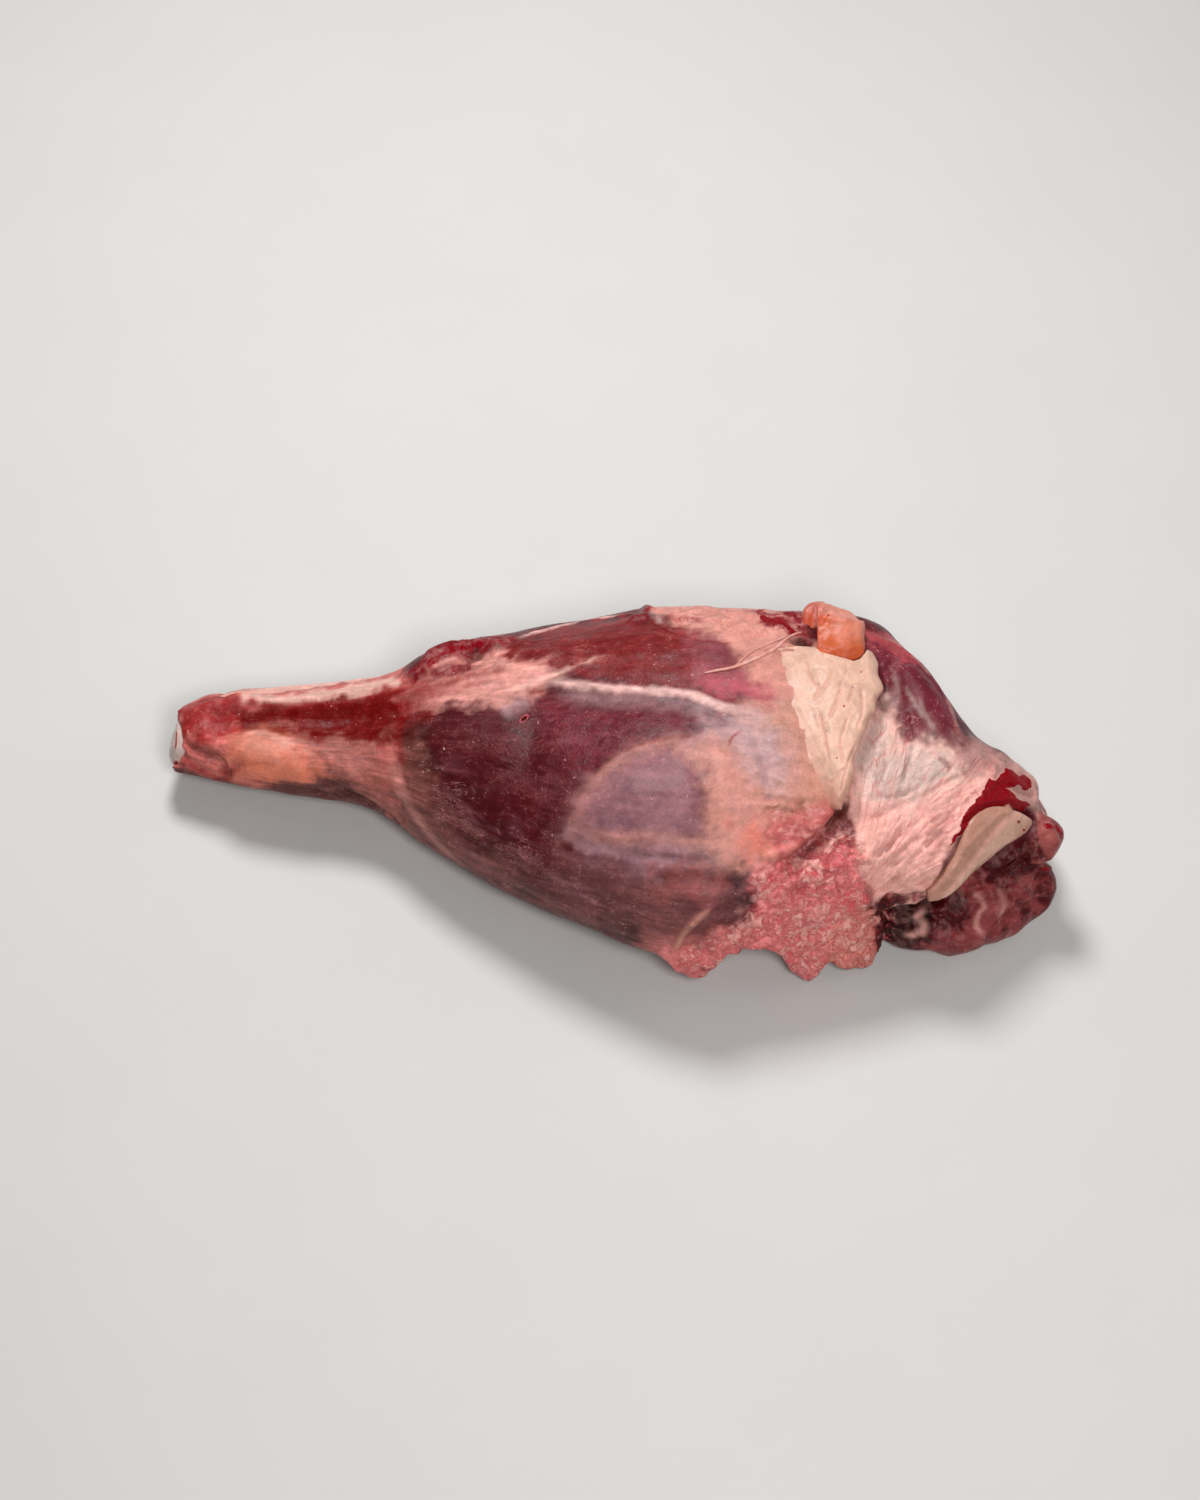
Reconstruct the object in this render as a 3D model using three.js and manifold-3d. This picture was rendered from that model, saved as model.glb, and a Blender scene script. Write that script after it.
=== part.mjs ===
// A raw horse leg: one whole limb, cut through the joint below the shank, skinned and lying on its side.
// Millimetres, +Z up. The shank points to -X, the shoulder to +X, and +Y is the far side of the limb.
// The flesh is one solid. The shank's bone, the gristle plate of the shoulder blade, the cap of fat and the
// block of fat beside it are separate tissues, each a solid of its own with a hair's gap to the flesh.
import * as THREE from "three";
import { mergeVertices } from "three/addons/utils/BufferGeometryUtils.js";
import Module from "manifold-3d";

const wasm = await Module();
wasm.setup();

// ---------------------------------------------------------------- driving dimensions

const GAP = 0.35; // between two tissues that touch
const SECTION_POWER = 0.9; // 1 is an ellipse, less is squarer

// The limb from the cut joint to the top of the shoulder: place of each section's centre and its half sizes.
const SECTIONS = [
  { x: -449, y: 93, z: 52, across: 33, up: 30 },
  { x: -424, y: 96, z: 55, across: 44, up: 36 },
  { x: -388, y: 92, z: 57, across: 51, up: 40 },
  { x: -346, y: 89, z: 57, across: 57, up: 43 },
  { x: -305, y: 88, z: 58, across: 62, up: 46 },
  { x: -263, y: 86, z: 59, across: 69, up: 51 },
  { x: -226, y: 78, z: 63, across: 83, up: 58 },
  { x: -195, y: 75, z: 66, across: 108, up: 66 },
  { x: -159, y: 65, z: 70, across: 127, up: 75 },
  { x: -107, y: 46, z: 78, across: 145, up: 85 },
  { x: -56, y: 34, z: 85, across: 164, up: 93 },
  { x: -5, y: 23, z: 90, across: 181, up: 99 },
  { x: 35, y: 16, z: 94, across: 193, up: 103 },
  { x: 85, y: 12, z: 97, across: 196, up: 106 },
  { x: 135, y: 16, z: 98, across: 188, up: 107 },
  { x: 185, y: 21, z: 98, across: 181, up: 105 },
  { x: 235, y: 27, z: 98, across: 175, up: 99 },
  { x: 275, y: 25, z: 105, across: 160, up: 84 },
  { x: 310, y: 0, z: 116, across: 134, up: 63 },
  { x: 335, y: -20, z: 120, across: 107, up: 53 },
  { x: 365, y: -30, z: 122, across: 67, up: 44 },
  { x: 395, y: -23, z: 116, across: 48, up: 34 },
  { x: 416, y: -19, z: 108, across: 27, up: 22 },
];
const LIMB_RINGS = 69;
const LIMB_SEGMENTS = 44;
const JOINT_CAP = 5; // how far the rounded ends stand out past the first and the last section
const SHOULDER_CAP = 11;

// The shown face is the side seen from VIEW_RISE above the floor. A place on it is given by x and by its
// height on that face, measured square to the line of sight from the level of FACE_DATUM.
const VIEW_RISE = THREE.MathUtils.degToRad(55);
const FACE_DATUM = { y: 55, z: 90 };

// Muscle rolls (positive) and grooves (negative) on the shown face.
const RELIEF = [
  { name: "shank groove", path: [[-398, 26], [-330, 29], [-263, 33], [-220, 39]], reach: 19, lift: -9 },
  { name: "shank fat", path: [[-366, -2], [-325, -8], [-284, -20]], reach: 26, lift: 7 },
  { name: "shank end hollow", path: [[-442, -6], [-408, -18]], reach: 10, lift: -5 },
  { name: "torn muscle on the shin", path: [[-192, 88], [-165, 101], [-120, 107]], reach: 20, lift: 9 },
  { name: "upper muscle", path: [[-90, 92], [0, 104], [90, 92]], reach: 34, lift: 5 },
  { name: "fascia seam", path: [[-170, 58], [-75, 62], [40, 52], [150, 40]], reach: 16, lift: -5 },
  { name: "main muscle", path: [[-150, -10], [-60, -40], [40, -70]], reach: 75, lift: 6 },
  { name: "muscle dip", path: [[-72, 42], [-84, -10], [-86, -60]], reach: 22, lift: -4 },
  { name: "elbow muscle", path: [[20, -45], [70, -50]], reach: 60, lift: 5 },
  { name: "seam beside the fat", path: [[278, 82], [270, 30], [250, -8], [236, -60]], reach: 15, lift: -16 },
  { name: "seam below the fat", path: [[236, -60], [214, -88], [180, -108]], reach: 13, lift: -12 },
  { name: "shoulder muscle", path: [[300, 80], [318, 48]], reach: 30, lift: 8 },
  { name: "shoulder fold", path: [[250, -75], [300, -40], [360, -20]], reach: 12, lift: -5 },
  { name: "back ridge", path: [[60, 138], [160, 136], [250, 128]], reach: 22, lift: 6 },
];

// The same on the far side, with each path given by x and by the height above the floor.
const FAR_RELIEF = [
  { name: "shank groove", path: [[-410, 44], [-320, 46], [-240, 48]], reach: 14, lift: -6 },
  { name: "elbow groove", path: [[-170, 66], [-60, 62], [50, 76], [170, 92]], reach: 20, lift: -8 },
  { name: "upper muscle", path: [[-90, 104], [20, 118], [130, 122]], reach: 34, lift: 5 },
  { name: "lower muscle", path: [[-60, 30], [60, 34], [180, 44]], reach: 36, lift: 5 },
  { name: "shoulder groove", path: [[262, 40], [276, 90], [262, 130]], reach: 16, lift: -9 },
];

// The skirt of torn tissue along the near side: the height of its hem above the floor, and how far the hem
// stands out from the limb.
const HEM = [
  { x: 30, z: 70, out: 2 },
  { x: 45, z: 62, out: 3 },
  { x: 57, z: 46, out: 4 },
  { x: 76, z: 30, out: 5 },
  { x: 90, z: 34, out: 5 },
  { x: 107, z: 56, out: 4 },
  { x: 130, z: 70, out: 4 },
  { x: 150, z: 62, out: 6 },
  { x: 165, z: 40, out: 8 },
  { x: 180, z: 15, out: 11 },
  { x: 193, z: 3, out: 20 },
  { x: 203, z: 6, out: 21 },
  { x: 211, z: 26, out: 17 },
  { x: 225, z: 20, out: 18 },
  { x: 247, z: 8, out: 21 },
  { x: 261, z: 13, out: 24 },
  { x: 270, z: 34, out: 20 },
];
const SKIRT_TOP = { z: 118, sunk: 9 };
const SKIRT_THICK = 22;
const SKIRT_LUMPS = { high: 4, wide: 22 };
const SKIRT_FACES = { along: 32, down: 7, through: 2 };

// The cut flesh of the rib side, lumps under the shoulder that rest on the floor, and the knob at its corner.
const RIB_FLESH = [
  { at: [334, -58, 32], size: [108, 90, 62] },
  { at: [380, -24, 56], size: [62, 76, 52] },
  { at: [302, -72, 24], size: [60, 66, 42] },
  { at: [300, 14, 52], size: [96, 84, 62] },
  { at: [424, -58, 95], size: [25, 27, 25] },
];

const RIB_LUMPS = { high: 5, wide: 26 };

// The shank's bone. Its face is the bare joint. cover is how far its middle lies under the far edge of the
// flesh, so that it shows as a strip there, up to where it goes deep into the limb.
const BONE = { face: -465, dome: 12, inner: -175, radius: 26, flatness: 0.86, cover: 27, above: 10 };
const BONE_KNUCKLE = { radius: 29, length: 34 };
const BONE_DIVES = { from: -240, to: -190, deep: 34 };
const BONE_FACES = { round: 22, along: 20 };

// The gristle plate: a crescent on the front edge of the shoulder, between two heights on the shown face.
const GRISTLE = [
  { x: 312, upper: -134, lower: -141 },
  { x: 326, upper: -119, lower: -138 },
  { x: 339, upper: -99, lower: -129 },
  { x: 353, upper: -73, lower: -116 },
  { x: 369, upper: -61, lower: -104 },
  { x: 385, upper: -58, lower: -92 },
  { x: 400, upper: -61, lower: -83 },
  { x: 412, upper: -66, lower: -75 },
];
const GRISTLE_PROUD = 4;
const GRISTLE_DEEP = 8;
const GRISTLE_FACES = { across: 20, down: 7, through: 2 };

// The cap of fat: its two long edges on the shown face, from the top of the limb down to its tip.
const FAT_CAP = [
  { height: 106, left: 158, right: 258 },
  { height: 92, left: 152, right: 267 },
  { height: 78, left: 154, right: 264 },
  { height: 60, left: 162, right: 267 },
  { height: 40, left: 172, right: 262 },
  { height: 20, left: 180, right: 251 },
  { height: -4, left: 188, right: 240 },
  { height: -16, left: 193, right: 243 },
  { height: -40, left: 204, right: 233 },
  { height: -60, left: 212, right: 226 },
];
const FAT_CAP_THICK = { left: 1.5, right: 10 };
const FAT_CAP_LUMPS = { high: 1.5, wide: 24 };
const FAT_CAP_WAVES = { high: 2, long: 38 }; // of its right edge
const FAT_CAP_DEEP = 14;
const FAT_CAP_FEATHER = 0.55; // share of its width over which the left side thins out
const FAT_CAP_FACES = { across: 15, down: 20, through: 2 };

// The block of fat on the top edge, and the smaller fold behind it.
const FAT_BLOCK = { x: 226, height: 117, size: [27, 25, 27], power: 0.55 };
const FAT_FOLD = { x: 201, height: 133, size: [15, 18, 16], power: 0.75 };
const FAT_BLOCK_RISE = 5;

// ---------------------------------------------------------------- shapes

// The row's values at a distance along the list, eased smoothly between its neighbours.
function eased(rows, key, value) {
  const rising = rows[rows.length - 1][key] > rows[0][key] ? 1 : -1;
  const after = rows.findIndex((row) => rising * row[key] > rising * value);
  const i = THREE.MathUtils.clamp((after < 0 ? rows.length : after) - 1, 0, rows.length - 2);
  const [a, b] = [rows[i], rows[i + 1]];
  const [before, beyond] = [rows[Math.max(i - 1, 0)], rows[Math.min(i + 2, rows.length - 1)]];
  const span = b[key] - a[key];
  const t = THREE.MathUtils.clamp((value - a[key]) / span, 0, 1);
  const made = {};
  for (const name of Object.keys(a)) {
    const slopeA = ((b[name] - before[name]) / (b[key] - before[key])) * span;
    const slopeB = ((beyond[name] - a[name]) / (beyond[key] - a[key])) * span;
    const [t2, t3] = [t * t, t * t * t];
    made[name] =
      (2 * t3 - 3 * t2 + 1) * a[name] +
      (t3 - 2 * t2 + t) * slopeA +
      (3 * t2 - 2 * t3) * b[name] +
      (t3 - t2) * slopeB;
  }
  return made;
}

const signedPower = (value, power) => Math.sign(value) * Math.abs(value) ** power;

// Height on the shown face of a point.
function faceHeight(point) {
  return (point.y - FACE_DATUM.y) * Math.sin(VIEW_RISE) + (point.z - FACE_DATUM.z) * Math.cos(VIEW_RISE);
}

// A point of the plain limb, before relief. share shrinks the section towards its centre, for the ends.
function plainPoint(x, angle, share = 1) {
  const s = eased(SECTIONS, "x", x);
  const y = s.y + s.across * share * signedPower(Math.cos(angle), SECTION_POWER);
  const z = s.z + s.up * share * signedPower(Math.sin(angle), SECTION_POWER);
  return new THREE.Vector3(x, y, z);
}

// Outward direction of the plain limb at a point of its section.
function plainNormal(x, angle) {
  const step = 1e-3;
  const round = plainPoint(x, angle + step).sub(plainPoint(x, angle - step));
  const along = plainPoint(x + 1, angle).sub(plainPoint(x - 1, angle));
  return round.cross(along).normalize();
}

// The angle at which the shown face of the section at x has the given height.
function angleAt(x, height) {
  let [low, high] = [THREE.MathUtils.degToRad(20), THREE.MathUtils.degToRad(202)];
  for (let i = 0; i < 24; i += 1) {
    const middle = (low + high) / 2;
    if (faceHeight(plainPoint(x, middle)) > height) low = middle;
    else high = middle;
  }
  return (low + high) / 2;
}

// The angle at which the far side of the section at x has the height z above the floor.
function farAngleAt(x, z) {
  const s = eased(SECTIONS, "x", x);
  return Math.asin(signedPower(THREE.MathUtils.clamp((z - s.z) / s.up, -1, 1), 1 / SECTION_POWER));
}

const anchored = (marks, angleFor) =>
  marks.map((mark) => ({ ...mark, path: mark.path.map(([x, place]) => plainPoint(x, angleFor(x, place))) }));
const relief = [...anchored(RELIEF, angleAt), ...anchored(FAR_RELIEF, farAngleAt)];

// How far the rolls and grooves lift the surface at a point.
function reliefAt(point) {
  let lift = 0;
  const nearest = new THREE.Vector3();
  for (const mark of relief) {
    let distance = Infinity;
    for (let i = 0; i + 1 < mark.path.length; i += 1) {
      new THREE.Line3(mark.path[i], mark.path[i + 1]).closestPointToPoint(point, true, nearest);
      distance = Math.min(distance, nearest.distanceTo(point));
    }
    lift += mark.lift * Math.exp(-((distance / mark.reach) ** 2));
  }
  return lift;
}

// Smooth uneven swelling of torn tissue, between -1 and 1, whose lumps are about size across.
function lumps(p, size) {
  const k = Math.PI / size;
  const first = Math.sin(p.x * k + 1.3 * Math.sin(p.y * k * 0.7)) * Math.cos(p.z * k + p.y * k * 0.6);
  const second = Math.sin(p.y * k * 1.3 + 0.8) * Math.cos(p.x * k * 0.8 - p.z * k * 0.9 + 2);
  return (first + second) / 2;
}

// A point of the finished limb surface.
function limbPoint(x, angle, share = 1) {
  const point = plainPoint(x, angle, share);
  point.addScaledVector(plainNormal(x, angle), reliefAt(point) * share);
  point.z = Math.max(point.z, 0);
  return point;
}

// Moves every face of a closed geometry outwards by grow, its vertices along their normals.
function growSurface(geometry, grow) {
  geometry.computeVertexNormals();
  const { position, normal } = geometry.attributes;
  const index = geometry.index.array;
  const lean = new Float32Array(position.count).fill(1); // how squarely a vertex's normal meets its faces
  const leastLean = 0.4;
  const at = (i) => new THREE.Vector3().fromBufferAttribute(position, i);
  const normalAt = (i) => new THREE.Vector3().fromBufferAttribute(normal, i);
  for (let i = 0; i < index.length; i += 3) {
    const corners = [index[i], index[i + 1], index[i + 2]];
    const face = new THREE.Triangle(...corners.map(at)).getNormal(new THREE.Vector3());
    for (const corner of corners) {
      lean[corner] = Math.min(lean[corner], normalAt(corner).dot(face));
    }
  }
  lean.forEach((value, i) => {
    const moved = at(i).addScaledVector(normalAt(i), grow / Math.max(value, leastLean));
    position.setXYZ(i, moved.x, moved.y, moved.z);
  });
}

// A closed three.js shape whose vertices are each moved by place, as one solid. grow then moves its whole
// surface outwards, which makes the room for a neighbour.
function solidFrom(geometry, place, grow = 0) {
  const bare = geometry.clone();
  bare.deleteAttribute("normal");
  bare.deleteAttribute("uv");
  const merged = mergeVertices(bare, 1e-4);
  const position = merged.attributes.position;
  const vertex = new THREE.Vector3();
  for (let i = 0; i < position.count; i += 1) {
    vertex.fromBufferAttribute(position, i);
    position.setXYZ(i, ...place(vertex.clone()).toArray());
  }
  if (grow > 0) growSurface(merged, grow);
  const mesh = new wasm.Mesh({
    numProp: 3,
    vertProperties: position.array,
    triVerts: new Uint32Array(merged.index.array),
  });
  return new wasm.Manifold(mesh);
}

// The limb: a sphere's grid drawn out along the sections, closed by a rounded cap at each end.
function limb(grow = 0) {
  const capShare = 0.045;
  const [start, end] = [SECTIONS[0].x, SECTIONS[SECTIONS.length - 1].x];
  const place = (v) => {
    const t = Math.acos(THREE.MathUtils.clamp(-v.y, -1, 1)) / Math.PI;
    const angle = Math.atan2(v.z, -v.x);
    const atEnd = Math.min(t, 1 - t) / capShare;
    if (atEnd >= 1) {
      const share = (t - capShare) / (1 - 2 * capShare);
      return limbPoint(start + share * (end - start), angle);
    }
    const turn = (atEnd * Math.PI) / 2;
    const out = t < 0.5 ? -JOINT_CAP : SHOULDER_CAP;
    const point = limbPoint(t < 0.5 ? start : end, angle, Math.sin(turn) ** 0.7);
    point.x += out * Math.cos(turn);
    return point;
  };
  return solidFrom(new THREE.SphereGeometry(1, LIMB_SEGMENTS, LIMB_RINGS), place, grow);
}

// Where the near side of the limb stands furthest out at x.
const nearSide = (x) => limbPoint(x, Math.PI).y;

// The skirt: a thick curtain of tissue that hangs from the near side down to its torn hem.
function skirt() {
  const [first, last] = [HEM[0].x, HEM[HEM.length - 1].x];
  const { along, down, through } = SKIRT_FACES;
  return solidFrom(new THREE.BoxGeometry(1, 1, 1, along, through, down), (v) => {
    const u = v.x + 0.5;
    const depth = 0.5 - v.z; // 0 at the top inside the limb, 1 at the hem
    const x = first + u * (last - first);
    const hem = eased(HEM, "x", x);
    const thin = Math.sqrt(1 - 0.8 * depth ** 4) * Math.sqrt(Math.max(1 - (2 * u - 1) ** 12, 0.2));
    const outerFace = nearSide(x) + SKIRT_TOP.sunk * (1 - depth) ** 2 - hem.out * depth ** 1.5;
    const point = new THREE.Vector3(x, outerFace, THREE.MathUtils.lerp(SKIRT_TOP.z, hem.z, depth));
    point.y += SKIRT_THICK * (0.5 + v.y * thin);
    point.y -= v.y < 0 ? SKIRT_LUMPS.high * lumps(point, SKIRT_LUMPS.wide) * depth : 0;
    return point;
  });
}

// One lump of the rib side's flesh, flattened where it lies on the floor.
function ribLump({ at, size }) {
  return solidFrom(new THREE.SphereGeometry(1, 19, 12), (v) => {
    const point = new THREE.Vector3(at[0] + size[0] * v.x, at[1] + size[1] * v.y, at[2] + size[2] * v.z);
    point.addScaledVector(v, RIB_LUMPS.high * lumps(point, RIB_LUMPS.wide));
    point.z = Math.max(point.z, 0);
    return point;
  });
}

// The shank's bone: a shaft that widens to the bare knuckle of the joint.
function bone(grow = 0) {
  const { face, inner, radius, flatness, cover, above } = BONE;
  const domeShare = 0.16;
  const tailShare = 0.1;
  const rounded = (share) => Math.sin(Math.min(share, 1) * 0.5 * Math.PI) ** 0.8;
  const place = (v) => {
    const t = Math.acos(THREE.MathUtils.clamp(-v.y, -1, 1)) / Math.PI;
    const fromFace = (inner - face) * Math.max((t - domeShare) / (1 - domeShare), 0) ** 1.15;
    const x = face + BONE.dome * Math.min(t / domeShare, 1) ** 2 + fromFace;
    const knuckle = Math.exp(-((fromFace / BONE_KNUCKLE.length) ** 2));
    const ends = rounded(t / domeShare) * rounded((1 - t) / tailShare);
    const r = THREE.MathUtils.lerp(radius, BONE_KNUCKLE.radius, knuckle) * ends;
    const s = eased(SECTIONS, "x", Math.max(x, SECTIONS[0].x));
    const inward = THREE.MathUtils.smoothstep(x, SECTIONS[0].x, SECTIONS[2].x);
    const dive = THREE.MathUtils.smoothstep(x, BONE_DIVES.from, BONE_DIVES.to);
    const beside = (s.across - cover - BONE_DIVES.deep * dive) * inward;
    const angle = Math.atan2(v.z, -v.x);
    const y = s.y + beside + r * Math.cos(angle);
    return new THREE.Vector3(x, y, s.z + above * inward + flatness * r * Math.sin(angle));
  };
  return solidFrom(new THREE.SphereGeometry(1, BONE_FACES.round, BONE_FACES.along), place, grow);
}

// A sheet laid on the limb. at gives x and height on the shown face for the two shares across and down the
// sheet, and outside gives how far its outer face stands proud there. Its inner face is deep in the limb.
function laidSheet({ across, down, through }, at, outside, deep, grow) {
  const place = (v) => {
    const [u, w] = [v.x + 0.5, v.y + 0.5];
    const { x, height } = at(u, w);
    const angle = angleAt(x, height);
    const point = plainPoint(x, angle);
    const lift = THREE.MathUtils.lerp(-deep, outside(u, w, point), v.z + 0.5);
    return point.addScaledVector(plainNormal(x, angle), lift);
  };
  return solidFrom(new THREE.BoxGeometry(1, 1, 1, across, down, through), place, grow);
}

// The gristle plate, a little proud of the flesh, with rounded edges.
function gristle(grow = 0) {
  const at = (u, w) => {
    const x = THREE.MathUtils.lerp(GRISTLE[0].x, GRISTLE[GRISTLE.length - 1].x, u);
    const { upper, lower } = eased(GRISTLE, "x", x);
    return { x, height: THREE.MathUtils.lerp(lower, upper, w) };
  };
  const outside = (u, w) => GRISTLE_PROUD * Math.sqrt(1 - 0.9 * (2 * w - 1) ** 6);
  return laidSheet(GRISTLE_FACES, at, outside, GRISTLE_DEEP, grow);
}

// The cap of fat, thin at its left and with a thick free edge at its right.
function fatCap(grow = 0) {
  const [top, tip] = [FAT_CAP[0].height, FAT_CAP[FAT_CAP.length - 1].height];
  const at = (u, w) => {
    const height = THREE.MathUtils.lerp(tip, top, w);
    const { left, right } = eased(FAT_CAP, "height", height);
    const wave = FAT_CAP_WAVES.high * Math.sin((2 * Math.PI * height) / FAT_CAP_WAVES.long);
    return { x: THREE.MathUtils.lerp(left, right + wave, u), height };
  };
  const outside = (u, w, point) => {
    const rise = THREE.MathUtils.smoothstep(u, 0, FAT_CAP_FEATHER);
    const rim = Math.sqrt(Math.max(1 - u ** 10, 0.15)) * Math.sqrt(Math.max(1 - (2 * w - 1) ** 10, 0.3));
    const lump = FAT_CAP_LUMPS.high * lumps(point, FAT_CAP_LUMPS.wide);
    return FAT_CAP_THICK.left + rise * (FAT_CAP_THICK.right * rim + lump);
  };
  return laidSheet(FAT_CAP_FACES, at, outside, FAT_CAP_DEEP, grow);
}

// A rounded lump of fat that sits on the limb.
function fatLump({ x, height, size, power }) {
  const centre = plainPoint(x, angleAt(x, height));
  return solidFrom(new THREE.SphereGeometry(1, 18, 11), (v) => {
    return new THREE.Vector3(
      centre.x + size[0] * signedPower(v.x, power),
      centre.y + size[1] * signedPower(v.y, power),
      centre.z + FAT_BLOCK_RISE + size[2] * signedPower(v.z, power),
    );
  });
}

// ---------------------------------------------------------------- assembly

const boneSolid = bone();
const gristleSolid = gristle();
const grownLimb = limb(GAP);
const fatCapSolid = fatCap().subtract(grownLimb);
const fatBlockSolid = fatLump(FAT_BLOCK)
  .add(fatLump(FAT_FOLD))
  .subtract(grownLimb)
  .subtract(fatCap(GAP));
const fleshSolid = RIB_FLESH.map(ribLump)
  .reduce((all, lump) => all.add(lump), limb().add(skirt()))
  .subtract(bone(GAP))
  .subtract(gristle(GAP));

// The largest body of a solid, without scraps that a cut has left.
function largest(solid) {
  return solid.decompose().reduce((best, body) => (body.volume() > best.volume() ? body : best));
}

const leg = new THREE.Group();

function addTissue(name, solid, look) {
  const { vertProperties, triVerts } = largest(solid).getMesh();
  const geometry = new THREE.BufferGeometry();
  geometry.setAttribute("position", new THREE.BufferAttribute(vertProperties, 3));
  geometry.setIndex(new THREE.BufferAttribute(triVerts, 1));
  geometry.computeVertexNormals();
  const mesh = new THREE.Mesh(geometry, new THREE.MeshStandardMaterial({ metalness: 0, ...look }));
  mesh.name = name;
  leg.add(mesh);
}

addTissue("flesh", fleshSolid, { color: 0x7a3a3c, roughness: 0.4 });
addTissue("shank_bone", boneSolid, { color: 0xd8c8ba, roughness: 0.35 });
addTissue("blade_gristle", gristleSolid, { color: 0xe3d4c4, roughness: 0.4 });
addTissue("fat_cap", fatCapSolid, { color: 0xe9c3a4, roughness: 0.45 });
addTissue("fat_block", fatBlockSolid, { color: 0xdc9a7c, roughness: 0.4 });

// The origin is under the middle of the whole limb, on the floor that it lies on.
const reach = new THREE.Box3().setFromObject(leg, true);
const middle = reach.getCenter(new THREE.Vector3());
leg.children.forEach((mesh) => mesh.position.set(-middle.x, -middle.y, -reach.min.z));

export default leg;
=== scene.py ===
"""The looks of a raw horse leg: wet muscle under membranes, torn tissue, fat, gristle and bare bone.

Pieces are shaped in millimetres, and finish_piece turns them into metres. A place on the shown face is given
by x and by its height h, both measured on the plane square to the camera's line of sight, FACE_DISTANCE from
the eye.
"""

import math

import bmesh
import bpy
import numpy as np
from bpy.props import FloatProperty, FloatVectorProperty, PointerProperty
from mathutils import Matrix, Vector
from mathutils.bvhtree import BVHTree


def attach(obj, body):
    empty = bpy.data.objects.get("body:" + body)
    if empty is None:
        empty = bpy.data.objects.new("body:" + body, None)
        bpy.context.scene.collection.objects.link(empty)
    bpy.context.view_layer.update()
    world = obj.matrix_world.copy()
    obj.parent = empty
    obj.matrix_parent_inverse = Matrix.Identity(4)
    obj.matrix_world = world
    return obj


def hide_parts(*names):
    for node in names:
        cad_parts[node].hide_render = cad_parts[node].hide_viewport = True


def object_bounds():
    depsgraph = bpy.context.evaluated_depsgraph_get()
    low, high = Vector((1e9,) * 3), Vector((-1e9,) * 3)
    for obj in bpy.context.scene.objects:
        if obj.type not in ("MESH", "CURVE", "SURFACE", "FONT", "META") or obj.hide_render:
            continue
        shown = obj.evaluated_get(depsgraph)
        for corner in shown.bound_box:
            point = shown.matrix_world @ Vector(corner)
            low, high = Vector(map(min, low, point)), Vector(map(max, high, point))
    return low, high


bl_info = {
    "name": "Raw horse leg",
    "version": (1, 0, 0),
    "blender": (4, 5, 0),
    "location": "View3D > Sidebar > Raw leg",
    "description": "Builds the flesh, fat, gristle and bone of a raw horse leg, and a plain stage",
    "category": "Add Mesh",
}

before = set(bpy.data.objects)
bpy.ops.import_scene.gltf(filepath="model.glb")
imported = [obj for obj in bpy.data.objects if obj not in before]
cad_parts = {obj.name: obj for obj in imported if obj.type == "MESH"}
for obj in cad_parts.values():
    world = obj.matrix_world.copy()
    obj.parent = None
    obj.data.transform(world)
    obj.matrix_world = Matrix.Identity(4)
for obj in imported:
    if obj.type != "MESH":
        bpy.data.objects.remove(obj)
CAD_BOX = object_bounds()

MM = 0.001
TOUCHING = 1e-6  # points of a CAD node closer than this are one, in metres

# ---------------- camera and shown face

CAMERA_LENS = 85.0
CAMERA_SENSOR = 36.0
FRAME_HEIGHT = 1500
VIEW_RISE = math.radians(55)
AIM_FROM_JOINT = 450.0  # along X from the bare joint's face
AIM_FROM_NEAR_SIDE = 241.5
AIM_HEIGHT = 90.0
FACE_DISTANCE = CAMERA_LENS / CAMERA_SENSOR * FRAME_HEIGHT  # one millimetre there is one pixel
AIM_DISTANCE = FACE_DISTANCE + 80.0
FACE_MIDDLE_X = -15.0  # the face's x at the middle of the frame

BOX_LOW = np.array(CAD_BOX[0]) / MM
AIM = np.array([BOX_LOW[0] + AIM_FROM_JOINT, BOX_LOW[1] + AIM_FROM_NEAR_SIDE, AIM_HEIGHT])
RIGHT = np.array([1.0, 0.0, 0.0])
UP = np.array([0.0, math.sin(VIEW_RISE), math.cos(VIEW_RISE)])
FORWARD = np.array([0.0, math.cos(VIEW_RISE), -math.sin(VIEW_RISE)])
EYE = AIM - FORWARD * AIM_DISTANCE

# ---------------- forms on the shown face

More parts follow.
